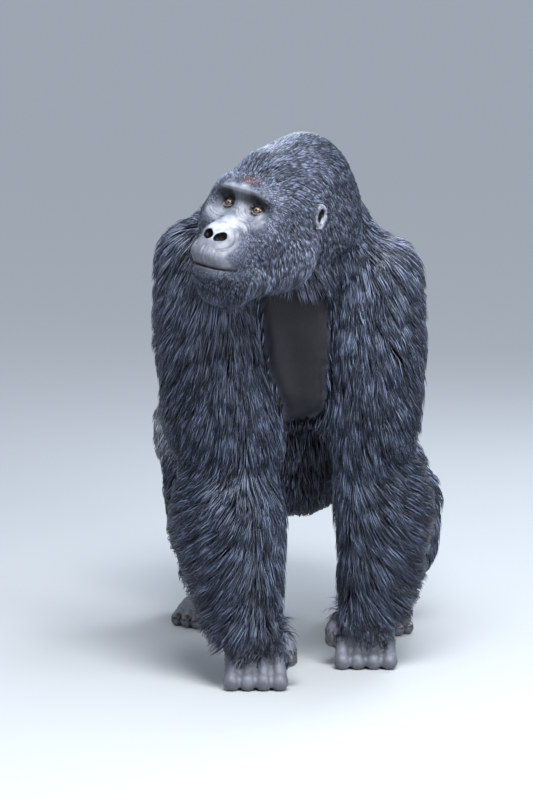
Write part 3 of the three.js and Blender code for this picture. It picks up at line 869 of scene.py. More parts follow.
@dataclass(frozen=True)
class CoatStyle:
    """How the coat grows on one region. Lengths are in millimetres.

    Attributes:
        depth: how deep the coat stands over the skin.
        length: the length of its locks.
        spacing: the distance between locks.
        width: a lock's width.
        tuft: the distance between the tufts that locks gather into.
        droop: how fast a lock bends downward.
    """

    depth: float
    length: float
    spacing: float
    width: float
    tuft: float
    droop: float


class Region(Enum):
    """The regions of the skin, by the names of the solids that it replaces."""

    HEAD = "head"
    NECK = "neck"
    TRUNK = "trunk"
    EAR_LEFT = "ear_left"
    EAR_RIGHT = "ear_right"
    UPPER_ARM_LEFT = "upper_arm_left"
    UPPER_ARM_RIGHT = "upper_arm_right"
    FOREARM_LEFT = "forearm_left"
    FOREARM_RIGHT = "forearm_right"
    HAND_LEFT = "hand_left"
    HAND_RIGHT = "hand_right"
    THIGH_LEFT = "thigh_left"
    THIGH_RIGHT = "thigh_right"
    SHANK_LEFT = "shank_left"
    SHANK_RIGHT = "shank_right"
    FOOT_LEFT = "foot_left"
    FOOT_RIGHT = "foot_right"

    @property
    def kind(self) -> str:
        """The region's name without its side."""
        return self.value.removesuffix("_left").removesuffix("_right")

    @property
    def coat(self) -> str:
        """The name of the coat's piece that grows on the region."""
        word = "head" if self.kind == "ear" else self.value
        return "coat_" + word.replace("hand", "forearm").replace("foot", "shank")


def style_of(quality: str) -> Array:
    """One of the coat styles' sizes for each region in turn."""
    return np.array([getattr(STYLES[r.kind], quality) for r in Region])


STYLES = {
    "head": CoatStyle(11, 27, 2.8, 1.3, 8, 0.05),
    "neck": CoatStyle(26, 62, 4.6, 2.1, 12, 0.25),
    "trunk": CoatStyle(24, 58, 8.6, 4.0, 18, 0.2),
    "ear": CoatStyle(0, 5, 40, 1.2, 9, 0.0),
    "upper_arm": CoatStyle(34, 92, 4.6, 2.4, 14, 0.25),
    "forearm": CoatStyle(44, 108, 4.2, 2.4, 15, 0.3),
    "hand": CoatStyle(0.4, 20, 6.0, 1.8, 9, 0.1),
    "thigh": CoatStyle(30, 80, 8.0, 4.2, 20, 0.3),
    "shank": CoatStyle(24, 70, 7.5, 3.8, 18, 0.4),
    "foot": CoatStyle(0.4, 9, 9.0, 1.8, 9, 0.1),
}


# ---- Distances on a grid -----------------------------------------------------------------------------


@dataclass
class Distances:
    """The distance to a closed surface, kept on a grid in metres.

    Attributes:
        values: the distances, negative inside.
        low: the grid's first corner.
        step: its step.
    """

    values: Array
    low: Array
    step: float
    slopes: Array | None = None

    @staticmethod
    def of_mesh(points: Array, faces: Array, step: float, outside: float, inside: float) -> "Distances":
        """Measures the distance to a closed mesh.

        Args:
            points: its points.
            faces: its triangles or quads, as rows of point numbers.
            step: the grid's step.
            outside: how far outside the surface to measure.
            inside: how far inside.

        Returns:
            The distances.
        """
        key = "triangles" if faces.shape[1] == 3 else "quads"
        grid = vdb.FloatGrid.createLevelSetFromPolygons(
            points=np.ascontiguousarray(points, np.float32),
            **{key: np.ascontiguousarray(faces, np.uint32)},
            transform=vdb.createLinearTransform(step),
            exBandWidth=outside / step,
            inBandWidth=inside / step,
        )
        low = np.floor(points.min(0) / step).astype(int) - int(outside / step) - 2
        high = np.ceil(points.max(0) / step).astype(int) + int(outside / step) + 2
        values = np.zeros(tuple(high - low + 1), np.float32)
        grid.copyToArray(values, ijk=tuple(int(n) for n in low))
        return Distances(values, low * step, step)

    def surface(self, level: float) -> tuple[Array, Array]:
        """The points and quads of the surface where the distance is level."""
        grid = vdb.FloatGrid(float(self.values.max()))
        grid.transform = vdb.createLinearTransform(self.step)
        first = np.round(self.low / self.step).astype(int)
        grid.copyFromArray(self.values, ijk=tuple(int(n) for n in first))
        points, quads = grid.convertToQuads(level)
        return np.asarray(points, float), np.asarray(quads, np.int64)

    def smoothed(self, times: int) -> "Distances":
        """These distances with their small steps rubbed out."""
        v = self.values
        for _ in range(times):
            for axis in range(3):
                v = 0.5 * v + 0.25 * (np.roll(v, 1, axis) + np.roll(v, -1, axis))
        return Distances(v, self.low, self.step)

    def _mixed(self, array: Array, points: Array) -> Array:
        """Values of an array between the grid's corners."""
        at = (points - self.low) / self.step
        top = np.array(self.values.shape) - 2
        first = np.clip(np.floor(at).astype(int), 0, top)
        t = np.clip(at - first, 0, 1)
        total = 0.0
        for i in (0, 1):
            for j in (0, 1):
                for k in (0, 1):
                    share = np.abs(1 - i - t[:, 0]) * np.abs(1 - j - t[:, 1]) * np.abs(1 - k - t[:, 2])
                    cell = array[first[:, 0] + i, first[:, 1] + j, first[:, 2] + k]
                    total = total + (share if cell.ndim == 1 else share[:, None]) * cell
        return total

    def at(self, points: Array) -> Array:
        """The distance at each point."""
        return self._mixed(self.values, points)

    def out(self, points: Array) -> Array:
        """The outward direction at each point."""
        if self.slopes is None:
            self.slopes = np.stack(np.gradient(self.values), axis=-1)
        return unit(self._mixed(self.slopes, points))


# ---- The skin ----------------------------------------------------------------------------------------


def mesh_object(name: str, points: Array, faces: Array | list, smooth: bool = True) -> bpy.types.Object:
    """Makes a mesh object in the frame.

    Args:
        name: its name.
        points: its points, in metres.
        faces: rows of point numbers, all alike in length, or a list of rows.
        smooth: whether its faces are shaded smooth.

    Returns:
        The object, linked to the scene.
    """
    mesh = bpy.data.meshes.new(name)
    if isinstance(faces, np.ndarray):
        sides = faces.shape[1]
        mesh.vertices.add(len(points))
        mesh.vertices.foreach_set("co", np.ascontiguousarray(points, np.float32).ravel())
        mesh.loops.add(faces.size)
        mesh.loops.foreach_set("vertex_index", np.ascontiguousarray(faces, np.int32).ravel())
        mesh.polygons.add(len(faces))
        mesh.polygons.foreach_set("loop_start", np.arange(0, faces.size, sides, dtype=np.int32))
        mesh.update(calc_edges=True)
    else:
        mesh.from_pydata(points.tolist(), [], faces)
    mesh.polygons.foreach_set("use_smooth", np.full(len(mesh.polygons), smooth))
    mesh.update()
    obj = bpy.data.objects.new(name, mesh)
    bpy.context.scene.collection.objects.link(obj)
    return obj


def add_values(mesh: bpy.types.Mesh, name: str, values: Array) -> None:
    """Stores one number for each point of a mesh, for its material to read."""
    layer = mesh.attributes.new(name, "FLOAT", "POINT")
    layer.data.foreach_set("value", np.ascontiguousarray(values, np.float32))


def points_of(mesh: bpy.types.Mesh) -> Array:
    """A mesh's points as rows."""
    co = np.zeros(len(mesh.vertices) * 3, np.float32)
    mesh.vertices.foreach_get("co", co)
    return co.reshape(-1, 3).astype(float)


def normals_of(mesh: bpy.types.Mesh) -> Array:
    """A mesh's point normals as rows."""
    rows = np.zeros(len(mesh.vertices) * 3, np.float32)
    mesh.vertex_normals.foreach_get("vector", rows)
    return rows.reshape(-1, 3).astype(float)


def edges_of(mesh: bpy.types.Mesh) -> Array:
    """A mesh's edges as pairs of point numbers."""
    pairs = np.zeros(len(mesh.edges) * 2, np.int32)
    mesh.edges.foreach_get("vertices", pairs)
    return pairs.reshape(-1, 2)


def triangles_of(mesh: bpy.types.Mesh) -> Array:
    """A mesh's triangles as rows of three point numbers."""
    mesh.calc_loop_triangles()
    rows = np.zeros(len(mesh.loop_triangles) * 3, np.int32)
    mesh.loop_triangles.foreach_get("vertices", rows)
    return rows.reshape(-1, 3)


def relaxed(values: Array, edges: Array, times: int, share: Array | float = 0.5) -> Array:
    """Values evened out over a mesh, each drawn towards its neighbours' mean.

    Args:
        values: one row for each point.
        edges: the mesh's edges.
        times: how many passes to make.
        share: how far each value moves, as one number or one for each point.

    Returns:
        The evened values.
    """
    v = np.array(values, float)
    flat = v.ndim == 1
    v = v[:, None] if flat else v
    n = len(v)
    a, b = edges.T
    count = np.maximum(np.bincount(edges.ravel(), minlength=n), 1)[:, None]
    move = share if np.isscalar(share) else np.asarray(share)[:, None]
    for _ in range(times):
        mean = np.empty_like(v)
        for k in range(v.shape[1]):
            mean[:, k] = np.bincount(a, v[b, k], n) + np.bincount(b, v[a, k], n)
        v = v + (mean / count - v) * move
    return v[:, 0] if flat else v


@dataclass
class Skin:
    """The one skin over all the flesh.

    Attributes:
        head: the head's forms.
        step: the size of its plain faces, in metres.
        closing: how far the gaps between solids are bridged on each side.
        floor: the height of the flats it stands on.
    """

    head: Head
    step: float = 0.0062
    closing: float = 0.0015
    floor: float = 0.0

    body: Axes = field(init=False)
    obj: bpy.types.Object = field(init=False)
    weights: Array = field(init=False)
    depth: Array = field(init=False)

    def __post_init__(self) -> None:
        """Finds the body's axes."""
        self.body = self.head.body_axes()

    def _solids(self, frame: dict) -> tuple[Array, Array, Array]:
        """The flesh solids' points, triangles and the region of each triangle."""
        points, triangles, labels, start = [], [], [], 0
        for n, region in enumerate(Region):
            mesh = frame["nodes"][region.value].data
            rows = triangles_of(mesh)
            points.append(points_of(mesh))
            triangles.append(rows + start)
            labels.append(np.full(len(rows), n))
            start += len(mesh.vertices)
        return np.concatenate(points), np.concatenate(triangles), np.concatenate(labels)

    def _subdivided(self, points: Array, quads: Array) -> bpy.types.Object:
        """Cuts the faces of the face, ears, hands and feet finer.

        Args:
            points: the plain surface's points.
            quads: its quads.

        Returns:
            The skin's object, with finer faces there.
        """
        obj = mesh_object("skin", points, quads)
        bm = bmesh.new()
        bm.from_mesh(obj.data)
        for level in (1, 2, 3):
            chosen = self._fine(np.array([f.calc_center_median() for f in bm.faces])) >= level
            edges = list({e for f, c in zip(bm.faces, chosen) if c for e in f.edges})
            bmesh.ops.subdivide_edges(bm, edges=edges, cuts=1, use_grid_fill=True)
        bmesh.ops.triangulate(bm, faces=[f for f in bm.faces if len(f.verts) > 4])
        bm.to_mesh(obj.data)
        bm.free()
        return obj

    def _fine(self, points: Array) -> Array:
        """How many times the faces at these points are cut in four.

        Args:
            points: the middles of the faces.

        Returns:
            One whole number for each face.
        """
        p = self.head.axes.local(points)
        left = folded(p)
        x, y, z = left.T
        level = np.zeros(len(points), int)
        level[(y < 62) & (x < 100) & (z < 72) & (z > -215)] = 1
        level[(self.head.bare(p) > 0.02) & (y < 45)] = 2
        level[spread(left, self.head.ear, (20, 26, 36)) < 1] = 2
        level[(spread(left, self.head.eye, (34, 30, 27)) < 1) & (y < 8)] = 3
        level[spread(left, (19, -80, -76), (20, 24, 16)) < 1] = 3
        level[(np.abs(z + 138) < 6) & (x < 66) & (y < -45)] = 3
        ends = [(arm.hand_axes(self.body), -40, 95, 112) for arm in ARMS]
        ends += [(leg.foot_axes(self.body), -175, 160, 88) for leg in LEGS]
        for axes, front, back, top in ends:
            x, y, z = axes.local(points).T
            level[(np.abs(x) < 110) & (y > front) & (y < back) & (z < top)] = 1
        return level

    def build(self, frame: dict) -> bpy.types.Object:
        """Draws the skin.

        Args:
            frame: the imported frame.

        Returns:
            The skin's object.
        """
        corners, triangles, labels = self._solids(frame)
        soup = Distances.of_mesh(corners, triangles, self.step, 3 * self.step, 3 * self.step)
        shell, shell_quads = soup.surface(self.closing)
        outer = Distances.of_mesh(shell, shell_quads, self.step, 0.02, 0.075)
        outer.values += self.closing
        outer = outer.smoothed(3)
        points, quads = outer.surface(0.0)
        self.obj = self._subdivided(points, quads[:, ::-1])
        mesh = self.obj.data
        points, edges = points_of(mesh), edges_of(mesh)

        near = BVHTree.FromPolygons(corners.tolist(), triangles.tolist())
        owner = np.array([labels[near.find_nearest(Vector(p))[2]] for p in points])
        self.weights = relaxed(np.eye(len(Region))[owner], edges, 10)

        points = self._lowered(points, edges, outer)
        points = self._sculpted(points, edges)
        points[:, 2] = np.maximum(points[:, 2], self.floor)
        mesh.vertices.foreach_set("co", points.astype(np.float32).ravel())
        mesh.update()
        return self.obj

    def share(self, *words: str) -> Array:
        """How far each point belongs to the regions with these names or kinds, from 0 to 1."""
        return self.weights[:, [n for n, r in enumerate(Region) if r.value in words or r.kind in words]].sum(1)

    def style(self, quality: str) -> Array:
        """One of the coat styles' sizes at each point, blended between regions."""
        return self.weights @ style_of(quality)

    def chest(self, points: Array) -> Array:
        """How bare the chest is at each point: 1 between the arms, 0 where the coat is full."""
        q = self.body.local(points)
        bare = ramp(ball((-4, -60, 735), (122, 190, 175))(q), 14.0, -14.0)
        return bare * ramp(q[:, 1], 120.0, 60.0) * ramp(self.share("trunk"), 0.3, 0.9)

    def coat_depth(self, points: Array) -> Array:
        """How deep the coat is over the skin.

        Args:
            points: the skin's points.

        Returns:
            One depth for each point, in metres.
        """
        p = self.head.axes.local(points)
        head = self.share("head")
        jaw = 1 + 0.9 * ramp(p[:, 2], -60.0, -150.0)
        depth = self.style("depth") * (1 - head + head * self.head.coat_share(p) * jaw)
        depth = depth * (1 - 0.9 * self.chest(points))
        return depth * (1 - ramp(self.share("ear"), 0.1, 0.5)) * MM

    def _lowered(self, points: Array, edges: Array, outer: Distances) -> Array:
        """Moves the surface in from the tips of the coat to the skin.

        Args:
            points: the surface's points.
            edges: the mesh's edges.
            outer: the distances to the tips of the coat.

        Returns:
            The moved points.
        """
        self.depth = relaxed(self.coat_depth(points), edges, 8)
        plain = 1 - self._detail(points)
        points = relaxed(points, edges, 14, 0.5 * plain)
        steps = 5
        for step in range(1, steps + 1):
            want = -self.depth * step / steps
            points = points - outer.out(points) * (outer.at(points) - want)[:, None]
            points = relaxed(points, edges, 2, 0.4 * plain)
        return points

    def _detail(self, points: Array) -> Array:
        """1 where the skin is sculpted finely, 0 where it is plain."""
        p = self.head.axes.local(points)
        face = ramp(p[:, 1], 105.0, 70.0) * ramp(p[:, 2], -230.0, -205.0) * ramp(self.share("head"), 0.3, 0.8)
        return np.maximum(face, ramp(self.share("hand", "foot", "ear"), 0.1, 0.6))

    def _pulled(self, points: Array, axes: Axes, form: Field, level: Array, share: Array) -> Array:
        """Moves points onto a sculpted form.

        Args:
            points: the points.
            axes: the form's axes.
            form: its field.
            level: the distance under the form where each point belongs, in millimetres.
            share: how far each point follows.

        Returns:
            The moved points.
        """
        active = np.where(share > 0.01)[0]
        moved = points.copy()
        p = axes.local(points[active])
        start = p.copy()
        for _ in range(6):
            gap = np.clip(form(p) + level[active], -6, 6)
            p = p - slope(form, p, 0.4) * gap[:, None]
        p = start + (p - start) * share[active, None]
        moved[active] = axes.world(p)
        return moved

    def _sculpted(self, points: Array, edges: Array) -> Array:
        """Sculpts the face, ears, hands and feet.

        Args:
            points: the lowered skin's points.
            edges: the mesh's edges.

        Returns:
            The sculpted points.
        """
        head, depth = self.head, self.depth / MM
        ears = ramp(self.share("ear"), 0.02, 0.12)
        face = np.clip(self._detail(points) - self.share("hand") - self.share("foot"), 0, 1)
        share = np.maximum(face, ears)
        whole = joined(4, head.form(), head.ear_form())
        for _ in range(3):
            points = relaxed(points, edges, 2, 0.5 * share * (1 - ears * 0.5))
            points = self._pulled(points, head.axes, whole, depth, share)
        for part, axes, form in self._ends():
            share = ramp(self.share(part), 0.15, 0.6)
            for _ in range(2):
                points = relaxed(points, edges, 1, 0.5 * share)
                points = self._pulled(points, axes, form, depth, share)
        p = head.axes.local(points)
        height = (head.folds(p) - head.mouth(p)) * face
        p = p + slope(whole, p, 0.6) * height[:, None]
        return head.axes.world(head.with_lids(p))

    def _ends(self) -> list[tuple[str, Axes, Field]]:
        """The hands and feet: each solid's name, its axes and its form."""
        hands = [(f"hand_{a.side.word}", a.hand_axes(self.body), a.hand_form()) for a in ARMS]
        feet = [(f"foot_{leg.side.word}", leg.foot_axes(self.body), leg.foot_form(self.body)) for leg in LEGS]
        return hands + feet

    def lie(self, points: Array, normals: Array) -> Array:
        """The direction in which the coat lies at each point of the skin.

        Args:
            points: the skin's points.
            normals: its normals.

        Returns:
            Directions along the surface, at length one.
        """
        q = self.body.local(points)
        head = self.head.axes
        side = np.sign(q[:, :1])
        neck = np.concatenate([0.35 * side, np.full_like(side, 0.5), np.full_like(side, -0.8)], 1)
        ways = [(("head", "ear"), head.heading(self.head.lie(head.local(points)))), (("neck",), neck)]
        ways.append((("trunk",), np.array((0.0, 0.72, -0.62))))
        ways += [(arm.side.names("upper_arm", "forearm", "hand"), arm.lie(q)) for arm in ARMS]
        for leg in LEGS:
            down = np.array((0.15 * leg.side.value, 0.35, -0.9))
            ways.append((leg.side.names("thigh", "shank", "foot"), down))
        total = np.zeros_like(points)
        for words, way in ways:
            total += self.share(*words)[:, None] * way
        return flattened(total, normals)

    def dress(self) -> None:
        """Stores the numbers that the skin's finish reads, and gives it the finish."""
        mesh, head = self.obj.data, self.head
        points = points_of(mesh)
        places, chest = head.axes.local(points), self.chest(points)
        on_head, ears = self.share("head"), self.share("ear")
        ends = ramp(self.share("hand", "foot", "ear"), 0.2, 0.7)
        face = head.bare(places) * ramp(places[:, 1], 75.0, 45.0) * on_head
        # painted shade in the nostrils, the line between the lips, under the brow, round the eyes and in the
        # ears' hollows
        dark_and_shade = head.dark_and_shade(places) * (on_head + ramp(ears, 0.1, 0.4)).clip(0, 1)
        # painted highlights on the brow and nose, with paler skin under the eyes, on the muzzle, hands, feet
        # and chest
        pale_and_highlight = head.pale_and_highlight(places) * on_head * (1 - chest) + 0.2 * ends + 0.03 * chest
        add_values(mesh, "bare", np.maximum.reduce([face, ends, chest]))
        # the painted shade, joined with the chest's own darker skin
        add_values(mesh, "dark_and_shade", np.maximum(dark_and_shade, 0.76 * chest))
        add_values(mesh, "pale_and_highlight", pale_and_highlight + 0.4 * ears * (1 - head.ear_hollow(places)))
        add_values(mesh, "wet", head.wet(places) * on_head)
        for word, values in zip(MARKS[1:], Markings(head).all(self.body.local(points))):
            add_values(mesh, word, values)
        mesh.materials.clear()
        mount(self.obj, Hide().material(), "bare_skin", [region.value for region in Region])


# ---- The coat ----------------------------------------------------------------------------------------


MARKS = ("strand", "silver", "warm", "grizzle")


@dataclass(frozen=True)
class Markings:
    """Where the coat changes colour, and where painted sheen, highlight and shade lie on it. Places are in the
    body's millimetres.

    Attributes:
        head: the head.
    """

    head: Head

    def silver(self, places: Array) -> Array:
        """How silver the coat is: 1 on the saddle over the back, hips and rump."""
        x, y, z = places.T
        low = 560 - 150 * ramp(y, 450.0, 700.0)
        edge = 14 * np.sin(x / 37.0) + 12 * np.sin(y / 29.0 + z / 41.0)
        return ramp(y + edge, 190.0, 330.0) * ramp(z + edge, low - 60, low + 60)

    def warm(self, places: Array) -> Array:
        """How brown the coat is: a little beside the neck and on the belly, more in a patch over the brow."""
        x, y, z = places.T
        shoulder = ramp(spread(places, (118, 70, 985), (95, 120, 75)), 1.2, 0.3)
        belly = ramp(z, 600.0, 540.0) * ramp(z, 380.0, 450.0) * ramp(np.abs(x - 10), 120.0, 80.0)
        belly = belly * ramp(y, 60.0, 130.0) * ramp(y, 330.0, 200.0)
        brow = ramp(spread(self._on_head(places), (14, -28, 53), (30, 30, 9)), 1.1, 0.5)
        return np.maximum.reduce([0.5 * shoulder, 0.12 * belly, brow])

    def grizzle(self, places: Array) -> Array:
        """How grey the coat is, as grey hair with a painted sheen: most on the cheeks, less on the crown; a
        little as a painted highlight on the tops of the shoulders, and less in a band of painted shade over the
        forehead.
        """
        p = self._on_head(places)
        near = ramp(spread(p, (0, 70, -20), (150, 205, 185)), 1.15, 0.75)
        jaw = 1 - 0.35 * ramp(p[:, 2], -110.0, -200.0)
        # painted shade: less grey in a band over the forehead, under the hair that stands out over it
        front = bump(p[:, 2], 80.0, 17.0) * ramp(p[:, 1], 70.0, 20.0)
        # painted highlight: a little grey on the tops of the shoulders, where the light falls
        shoulders = ramp(places[:, 2], 720.0, 900.0) * ramp(np.abs(places[:, 0]), 110.0, 170.0)
        return np.maximum(near * jaw * (1 - 0.85 * front), 0.3 * shoulders)

    def all(self, places: Array) -> list[Array]:
        """How silver, warm and grey the coat is at each place, the grey with its painted sheen, highlight and
        shade.
        """
        return [self.silver(places), self.warm(places), self.grizzle(places)]

    def _on_head(self, places: Array) -> Array:
        """Places of the body as places on the head."""
        return (places - np.array(self.head.place)) @ self.head.axes.turn.T


@dataclass
class Locks:
    """Locks of hair before they become a mesh. Each array has a row for each lock.

    Attributes:
        path: its points from the root to the tip, in metres.
        up: the way its ridge faces at each point.
        width: its width, in metres.
        marks: its own random number, and how silver, warm and grey it is, the grey with its painted sheen,
            highlight and shade.
        unwrap: its root's place on the skin's unwrap.
    """

    path: Array
    up: Array
    width: Array
    marks: Array
    unwrap: Array

    def mesh(self, name: str) -> bpy.types.Object:
        """Builds the locks as one piece of slim closed wedges, with their numbers and their unwrap.

        Args:
            name: the piece's name.

        Returns:
            The piece.
        """
        count, rings = len(self.path), self.path.shape[1] - 1
        side = unit(np.cross(unit(np.gradient(self.path, axis=1)), self.up))[:, :rings]
        share = np.arange(rings) / rings
        half = (self.width[:, None] * np.interp(share, *LOCK_PROFILE) * 0.5)[:, :, None]
        middle, up = self.path[:, :rings], self.up[:, :rings]
        low = middle - up * half * 0.4
        corners = np.stack([low - side * half, low + side * half, middle + up * half * 0.75], axis=2)
        points = np.concatenate([corners.reshape(count, rings * 3, 3), self.path[:, rings:]], axis=1)
        faces = [(0, 1, 2)]
        for k in range(rings - 1):
            for j in range(3):
                a, b = 3 * k + j, 3 * k + (j + 1) % 3
                faces += [(a, b + 3, b), (a, a + 3, b + 3)]
        top, size = 3 * (rings - 1), 3 * rings + 1
        faces += [(top + j, size - 1, top + (j + 1) % 3) for j in range(3)]
        numbers = np.array(faces)[None] + (np.arange(count) * size)[:, None, None]
        obj = mesh_object(name, points.reshape(-1, 3), numbers.reshape(-1, 3))
        tip = np.append(np.repeat(share, 3), 1.0)
        across = np.append(np.tile((-0.5, 0.5, 0.0), rings), 0.0)
        add_values(obj.data, "tip", np.tile(tip, count))
        add_values(obj.data, "across", np.tile(across, count))
        for column, word in enumerate(MARKS):
            add_values(obj.data, word, np.repeat(self.marks[:, column], size))
        patch = np.stack([across, tip - 0.5], axis=1) * BAKE_PATCH
        uv = (self.unwrap[:, None] + patch[None]).reshape(-1, 2)
        layer = obj.data.uv_layers.new(name=BAKE_MAP)
        layer.data.foreach_set("uv", np.clip(uv[numbers.reshape(-1)], 0, 1).astype(np.float32).ravel())
        return obj


@dataclass
class Coat:
    """The coat of locks over the skin.

    Attributes:
        skin: the skin that it grows on.
        piece_limit: the most triangles in one piece.
        relaxing: how many times the lie of the coat is evened out.
        root: how deep a lock's root sits in the skin, in metres.
    """

    skin: Skin
    piece_limit: int = 190_000
    relaxing: int = 24
    root: float = 0.0015

    around: Distances = field(init=False)
    random: np.random.Generator = field(init=False)

    def _cover(self, points: Array, normals: Array) -> Array:
        """How thickly hair grows, as a share of its region's full count.

        Args:
            points: the skin's points.
            normals: its normals.

        Returns:
            One value for each point.
        """
        skin, head = self.skin, self.skin.head
        p = head.axes.local(points)
        cover = 1 - head.bare(p) * ramp(p[:, 1], 75.0, 45.0)
        cover *= 1 + 0.7 * ramp(head.coat_share(p), 0.6, 0.2) * skin.share("head")
        cover *= 1 - ramp(skin.chest(points), 0.1, 0.6)
        for arm in ARMS:
            z = arm.hand_axes(skin.body).local(points)[:, 2]
            back = ramp(z, 44.0, 78.0) * ramp(normals[:, 2], -0.3, 0.1)
            cover *= 1 - skin.share(*arm.side.names("hand")) * (1 - 2.5 * back)
        for leg in LEGS:
            _, y, z = leg.foot_axes(skin.body).local(points).T
            top = ramp(z, 40.0, 62.0) * ramp(y, -95.0, -60.0) * ramp(normals[:, 2], -0.2, 0.2)
            cover *= 1 - skin.share(*leg.side.names("foot")) * (1 - 2.0 * top)
        return np.clip(cover, 0, 4) * (skin.body.local(points)[:, 2] > 6)

    def _lengths(self, points: Array) -> Array:
        """How long the hair is: short round the face, long on the jaw and in the fringes at the elbows.

        Args:
            points: the skin's points.

        Returns:
            One length for each point, in metres.
        """
        skin, head = self.skin, self.skin.head
        p, q = head.axes.local(points), skin.body.local(points)
        on_head = skin.share("head")
        jaw = 1 + 0.75 * ramp(p[:, 2], -40.0, -140.0) * ramp(p[:, 1], -40.0, 20.0)
        length = skin.style("length") * (1 - on_head + on_head * head.coat_share(p) * jaw)
        length *= 1 - 0.75 * skin.chest(points)
        low = ramp(q[:, 2], 210.0, 110.0)
        for arm in ARMS:
            on_arm = skin.share(*arm.side.names("upper_arm", "forearm"))
            elbow = np.exp(-(((q[:, 2] - arm.elbow[2] - 45) / 70) ** 2))
            length *= 1 + 0.35 * elbow * on_arm * ramp(np.abs(arm.around(q)), 40.0, 90.0)
            length *= 1 - 0.55 * low * on_arm
        return length * MM

    def _planted(self, points: Array, normals: Array, triangles: Array) -> tuple[Array, Array]:
        """Picks the places of the roots, evenly for how thickly hair grows.

        Args:
            points: the skin's points.
            normals: its normals.
            triangles: its triangles.

        Returns:
            The three corners round each root, and the root's share of each.
        """
        density = self.skin.weights @ (1 / style_of("spacing") ** 2) * self._cover(points, normals)
        a, b, c = (points[triangles[:, k]] for k in range(3))
        area = np.linalg.norm(np.cross(b - a, c - a), axis=1) / 2 / MM**2
        wanted = np.cumsum(area * density[triangles].mean(1))
        count = int(wanted[-1])
        pick = np.searchsorted(wanted, np.arange(count) + self.random.random(count))
        s, t = np.sqrt(self.random.random(count)), self.random.random(count)
        return triangles[np.minimum(pick, len(triangles) - 1)], np.stack([1 - s, s * (1 - t), s * t], axis=1)

    def _leaders(self, roots: Array, region: Array) -> Array:
        """The lock that leads each lock's tuft: the nearest of those picked to lead.

        Args:
            roots: the locks' roots.
            region: the number of each lock's region.

        Returns:
            One lock's number for each lock.
        """
        chance = (style_of("spacing") / style_of("tuft"))[region] ** 2
        lead = np.where(self.random.random(len(roots)) < chance)[0]
        tree = KDTree(len(lead))
        for n, root in enumerate(roots[lead]):
            tree.insert(root, n)
        tree.balance()
        return lead[np.array([tree.find(root)[1] for root in roots])]

    def build(self) -> list[tuple[bpy.types.Object, str]]:
        """Grows the coat.

        Returns:
            Its pieces, each with the name of the record's slot for its finish.
        """
        skin, mesh = self.skin, self.skin.obj.data
        points, normals, triangles = points_of(mesh), normals_of(mesh), triangles_of(mesh)
        self.around = Distances.of_mesh(points, triangles, 0.006, 0.085, 0.02).smoothed(1)
        self.random = random = np.random.default_rng(SEED)
        lie = flattened(relaxed(skin.lie(points, normals), edges_of(mesh), self.relaxing), normals)
        corners, share = self._planted(points, normals, triangles)
        count = len(corners)

        def at_roots(values: Array) -> Array:
            """The skin's values at each root."""
            rows = values[corners]
            return (rows * (share[:, :, None] if rows.ndim == 3 else share)).sum(1)

        roots, facing = at_roots(points), unit(at_roots(normals))
        region = skin.weights[corners[:, 0]].argmax(1)
        follow = self._leaders(roots, region)

        def varied(most: float) -> Array:
            """A random share for each lock, partly its tuft's own."""
            return (0.8 + most * random.random(count))[follow] * (0.8 + most * random.random(count))

        wild = np.where(np.array([r is Region.HEAD for r in Region])[region], 0.4, 1.0)
        turn = wild * np.radians(random.normal(0, 7, count)[follow] + random.normal(0, 5, count))
        height, length = at_roots(skin.depth) * varied(0.25), at_roots(self._lengths(points)) * varied(0.35)
        flat = flattened(at_roots(lie), facing)
        flat = flat * np.cos(turn)[:, None] + np.cross(facing, flat) * np.sin(turn)[:, None]
        marks = np.stack([random.random(count), *Markings(skin.head).all(skin.body.local(roots))], axis=1)
        marks[:, 0] = marks[:, 0] * 0.6 + marks[follow, 0] * 0.4
        width = at_roots(skin.style("width")) * MM * (0.7 + 0.6 * random.random(count))
        droop = at_roots(skin.style("droop"))

        pieces: list[tuple[bpy.types.Object, str]] = []
        names = np.where(marks[:, 1] > 0.5, "saddle", np.array([r.coat for r in Region])[region])
        total = 0
        for word in sorted(set(names)):
            rings, gathering = (2, 0.32) if word == "coat_head" else (3, 0.5)
            chosen = np.where(names == word)[0]
            path, up = self._comb(roots[chosen], facing[chosen], flat[chosen], length[chosen], height[chosen],
                                  droop[chosen], rings)
            place = np.full(count, -1)
            place[chosen] = np.arange(len(chosen))
            lead = np.where(place[follow[chosen]] < 0, place[chosen], place[follow[chosen]])
            path = self._gathered(path, lead, gathering)
            unwrap = self._unwrap(word, roots[chosen])
            each = 6 * (rings - 1) + 4
            parts = math.ceil(len(chosen) * each / self.piece_limit)
            for n, part in enumerate(np.array_split(np.argsort(roots[chosen, 0], kind="stable"), parts)):
                name = word if parts == 1 else f"{word}_{n + 1}"
                locks = Locks(path[part], up[part], width[chosen][part], marks[chosen][part], unwrap[part])
                pieces.append((locks.mesh(name), "silver_fur" if word == "saddle" else "fur"))
                total += len(part) * each
                LOG.info("%s: %d locks, %d triangles", name, len(part), len(part) * each)
        LOG.info("coat: %d locks, %d triangles", count, total)
        return pieces

